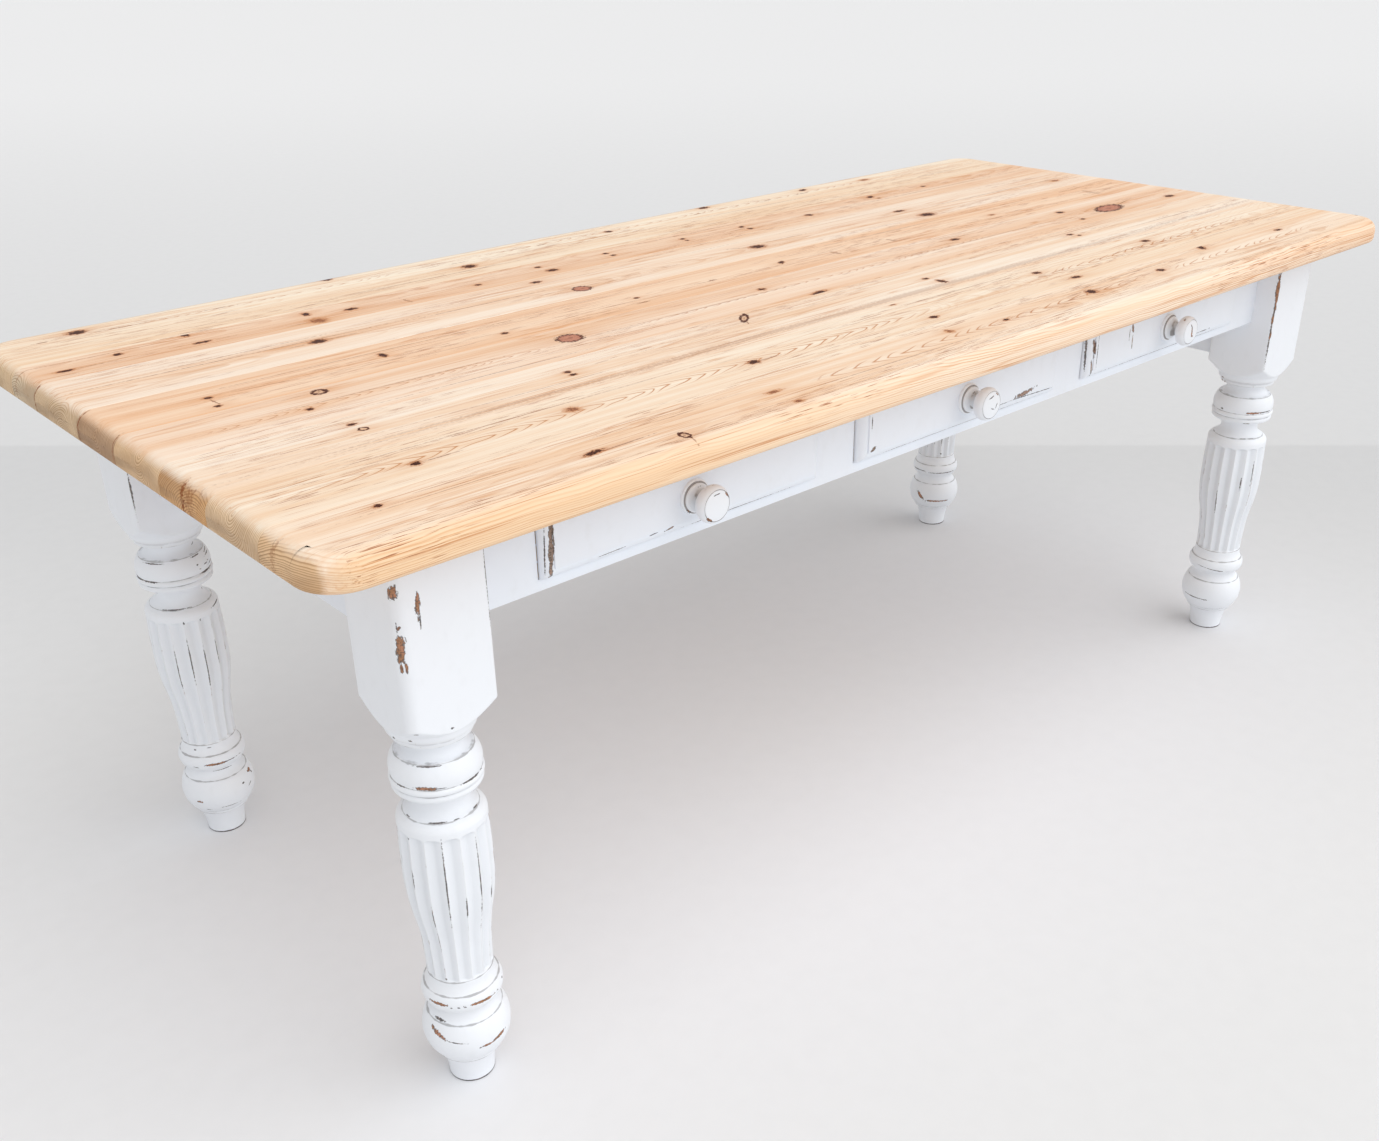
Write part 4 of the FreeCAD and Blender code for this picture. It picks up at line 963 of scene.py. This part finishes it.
def makeKnobs():
    outline = sampledOutline(knob["start"], knob["outline"], knob["spacing"])
    radius, out = outline[:, :1], outline[:, 1:]
    angles = np.linspace(0, 2 * math.pi, 129)[:-1]

    def near(place, width, atRadius=None, radiusWidth=1.0):
        # 1 at a place along the knob, and at a radius if one is given, falling off over the widths
        off = 0 if atRadius is None else ((radius - atRadius) / radiusWidth) ** 2
        return np.exp(-((out - place) / width) ** 2 - off)

    # the faceplate's step and the ring round the face get dark lines of dirt and painted shade; the neck gets
    # painted shade and the same lines
    rings = near(5.0, 0.7) + near(39.7, 0.6, 19.2, 0.7)
    middle, reach = knob["neck"]
    neck = 0.75 * smoothStep(np.abs(out - middle), reach, 0.3 * reach)
    rim = 0.7 * near(33.0, 5.0, 22.5, 1.5) + 0.6 * near(2.0, 1.2)
    wearAndShade = [field + 0 * angles for field in (rim, np.maximum(1.6 * rings, neck), 4.0 * neck)]
    ring = np.stack([radius * np.cos(angles), -out + 0 * angles, radius * np.sin(angles)], -1)
    points, quads = capped(ring)
    for number, marks in enumerate(knob["wearAndShade"], 1):
        lowest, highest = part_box("drawer_%d_knob" % number)
        centre = np.array([(lowest.x + highest.x) / 2, highest.y, (lowest.z + highest.z) / 2])
        x, y, z = map(float, centre)

        def faceOn(s):
            # marks lie on the face only
            return s.vector(s.x - x, s.z - z, s.step(s.y, y - 0.030, y - 0.024)), None

        material = paintShade("rubbedPaintKnob%d" % number, faceOn, **marks, worn=True, lines=0.85)
        addPiece("knob%d" % number, [(points * mm + centre, quads)], material,
                 "drawer_%d" % number, ["drawer_%d_knob" % number], wearAndShadeOf(wearAndShade))
    print("knobs turned")


# marks on the drawer fronts: x and z at both ends, half thickness; the long level rubs near z 634 and the one
# down the first front's left edge are painted shade lines at the moulding's step and the gap
fronts = [
    {"chips": [(-709, 695, -712, 636, 2.5), (-548, 639, -536, 641, 1.0)],
     "rubsAndShadeLines": [(-646, 637, -606, 638, 0.6), (-575, 640, -560, 641, 0.7), (-530, 634.5, -330, 633.5, 0.8),
              (-716, 700, -718, 634, 0.6), (-268, 684, -266, 678, 1.2)]},
    {"chips": [(-196, 645, -190, 648, 2.2), (118, 646, 150, 650, 3.0)],
     "rubsAndShadeLines": [(-197, 694, -197, 674, 0.9), (73, 644, 216, 639, 0.8), (60, 642, 130, 644, 0.9),
              (-190, 634, 190, 633.5, 0.6)]},
    {"chips": [(279, 676, 281, 650, 2.0), (302, 690, 305, 668, 2.2), (301, 655, 303, 640, 1.8),
               (402, 694, 404, 684, 2.2), (405, 676, 406, 662, 1.2)],
     "rubsAndShadeLines": [(292, 700, 293, 636, 0.7), (311, 695, 312, 636, 0.7), (310, 634.5, 700, 633.5, 0.6),
              (395, 690, 396, 668, 0.9), (560, 640, 640, 641, 0.9)]},
]


def barePine(name, along):
    # unfinished pine whose grain runs along x or y
    s = Shade(name)

    def stretched(slow, fast):
        return (slow, fast, fast) if along == "x" else (fast, slow, fast)

    grain = s.noise(stretched(1.0, 60.0), distortion=0.6)
    fibre = s.noise(stretched(8.0, 500.0))
    lines = s.step(s.math("FRACT", grain * 9.0), 0.35, 0.95)
    colour = s.mix(lines * 0.40, (0.76, 0.57, 0.36), (0.56, 0.35, 0.18))
    colour = s.mix(s.step(fibre, 0.45, 0.8) * 0.30, colour, (0.45, 0.28, 0.15))
    normal = s.bump(lines + fibre, 0.0002, 0.5)
    return s.finish(colour, s.spread(fibre, 0.62, 0.75), normal, Specular_IOR_Level=0.3)


def steelShade(name):
    s = Shade(name)
    scratch = s.noise(900.0)
    colour = s.mix(s.step(scratch, 0.3, 0.8), (0.50, 0.49, 0.47), (0.62, 0.61, 0.59))
    return s.finish(colour, s.spread(scratch, 0.32, 0.48), Metallic=1.0)


def finishNodes():
    # pieces that keep their own shape get their finish only
    def faceOn(s):
        return s.vector(s.x, s.z), None

    alongX, alongY = barePine("barePineAlongX", "x"), barePine("barePineAlongY", "y")
    # the aprons and drawer fronts take the bluer copy of the white, painted against the wood's warm bounce
    plain = paintShade("plainPaint", tone="bounceCooledWhite")
    steel = steelShade("screwSteel")
    frontPaint = [paintShade("frontPaint%d" % number, faceOn, **marks, tone="bounceCooledWhite", wood="greyWood")
                  for number, marks in enumerate(fronts, 1)]
    for name, thing in nodes.items():
        if thing.hide_render:
            continue
        if "screw" in name:
            material = steel
        elif name.endswith("_front"):
            material = frontPaint[int(name[7]) - 1]
        elif name.startswith(("apron", "front_")):
            material = plain
        elif name.endswith(("_back", "buttons", "stops")):
            material = alongX
        else:
            material = alongY
        thing.data.materials.clear()
        thing.data.materials.append(material)
    print("carried-over pieces finished")


def makeFloor():
    # the floor's tone falls off towards the foot of a pale backdrop, painted shade where floor would meet it,
    # and rises again past it
    s = Shade("paleFloor")

    def ahead(degrees):
        turned = math.radians(degrees)
        return s.x * math.sin(turned) + s.y * math.cos(turned)

    out = ahead(studio["headingDegrees"])
    near, far = s.step(out, *studio["floorNear"]), s.step(out, *studio["floorFar"])
    past = s.step(ahead(studio["footDegrees"]), *studio["footLine"])
    # painted shade: darker on the way to the foot line, lighter again past it
    tone = near + past * (far - near) - s.step(s.noise(30.0, detail=4.0), 0.3, 0.8) * 0.012
    # painted light: lighter and cooler under the table, to lift its shadow and cancel the warm glow of the
    # wood above
    under = s.math("SQRT", s.math("POWER", s.x * 0.72, 2.0) + s.math("POWER", s.y * 1.15, 2.0))
    under = s.fall(under, *studio["paintedLightReach"])
    tone = tone + under * studio["paintedLightLift"]
    red, blue = tone * (0.998 - under * 0.012), tone * (under * 0.045 + 1.006)
    colour = s.value("ShaderNodeCombineColor", {0: red, 1: tone, 2: blue})
    half = studio["floorHalf"]
    mesh = bpy.data.meshes.new("floor")
    corners = [(-half, -half, 0), (half, -half, 0), (half, half, 0), (-half, half, 0)]
    mesh.from_pydata(corners, [], [(0, 1, 2, 3)])
    mesh.materials.append(s.finish(colour, 0.8, Specular_IOR_Level=0.1))
    floor = putIn("floor", mesh)


def makeWorld():
    # what the camera sees past the floor is brighter than what lights the table
    s = Shade("softRoom", bpy.data.worlds)
    path = s.node("ShaderNodeLightPath").outputs
    seen = s.most(s.most(path["Is Camera Ray"], path["Is Glossy Ray"]), path["Is Transmission Ray"])
    strength = s.value("ShaderNodeMapRange", {0: seen, 3: studio["worldStrength"], 4: studio["backdropTone"]})
    background = s.value("ShaderNodeBackground", {0: (1.0, 1.0, 1.0), 1: strength})
    s.node("ShaderNodeOutputWorld", {0: background})
    bpy.context.scene.world = s.owner


makeCamera()
makeWorld()
makeLamp()
makeFloor()
print("studio set")
makeTop()
makeLegs()
makeKnobs()
finishNodes()

scene = bpy.context.scene
scene.view_settings.view_transform = "Standard"
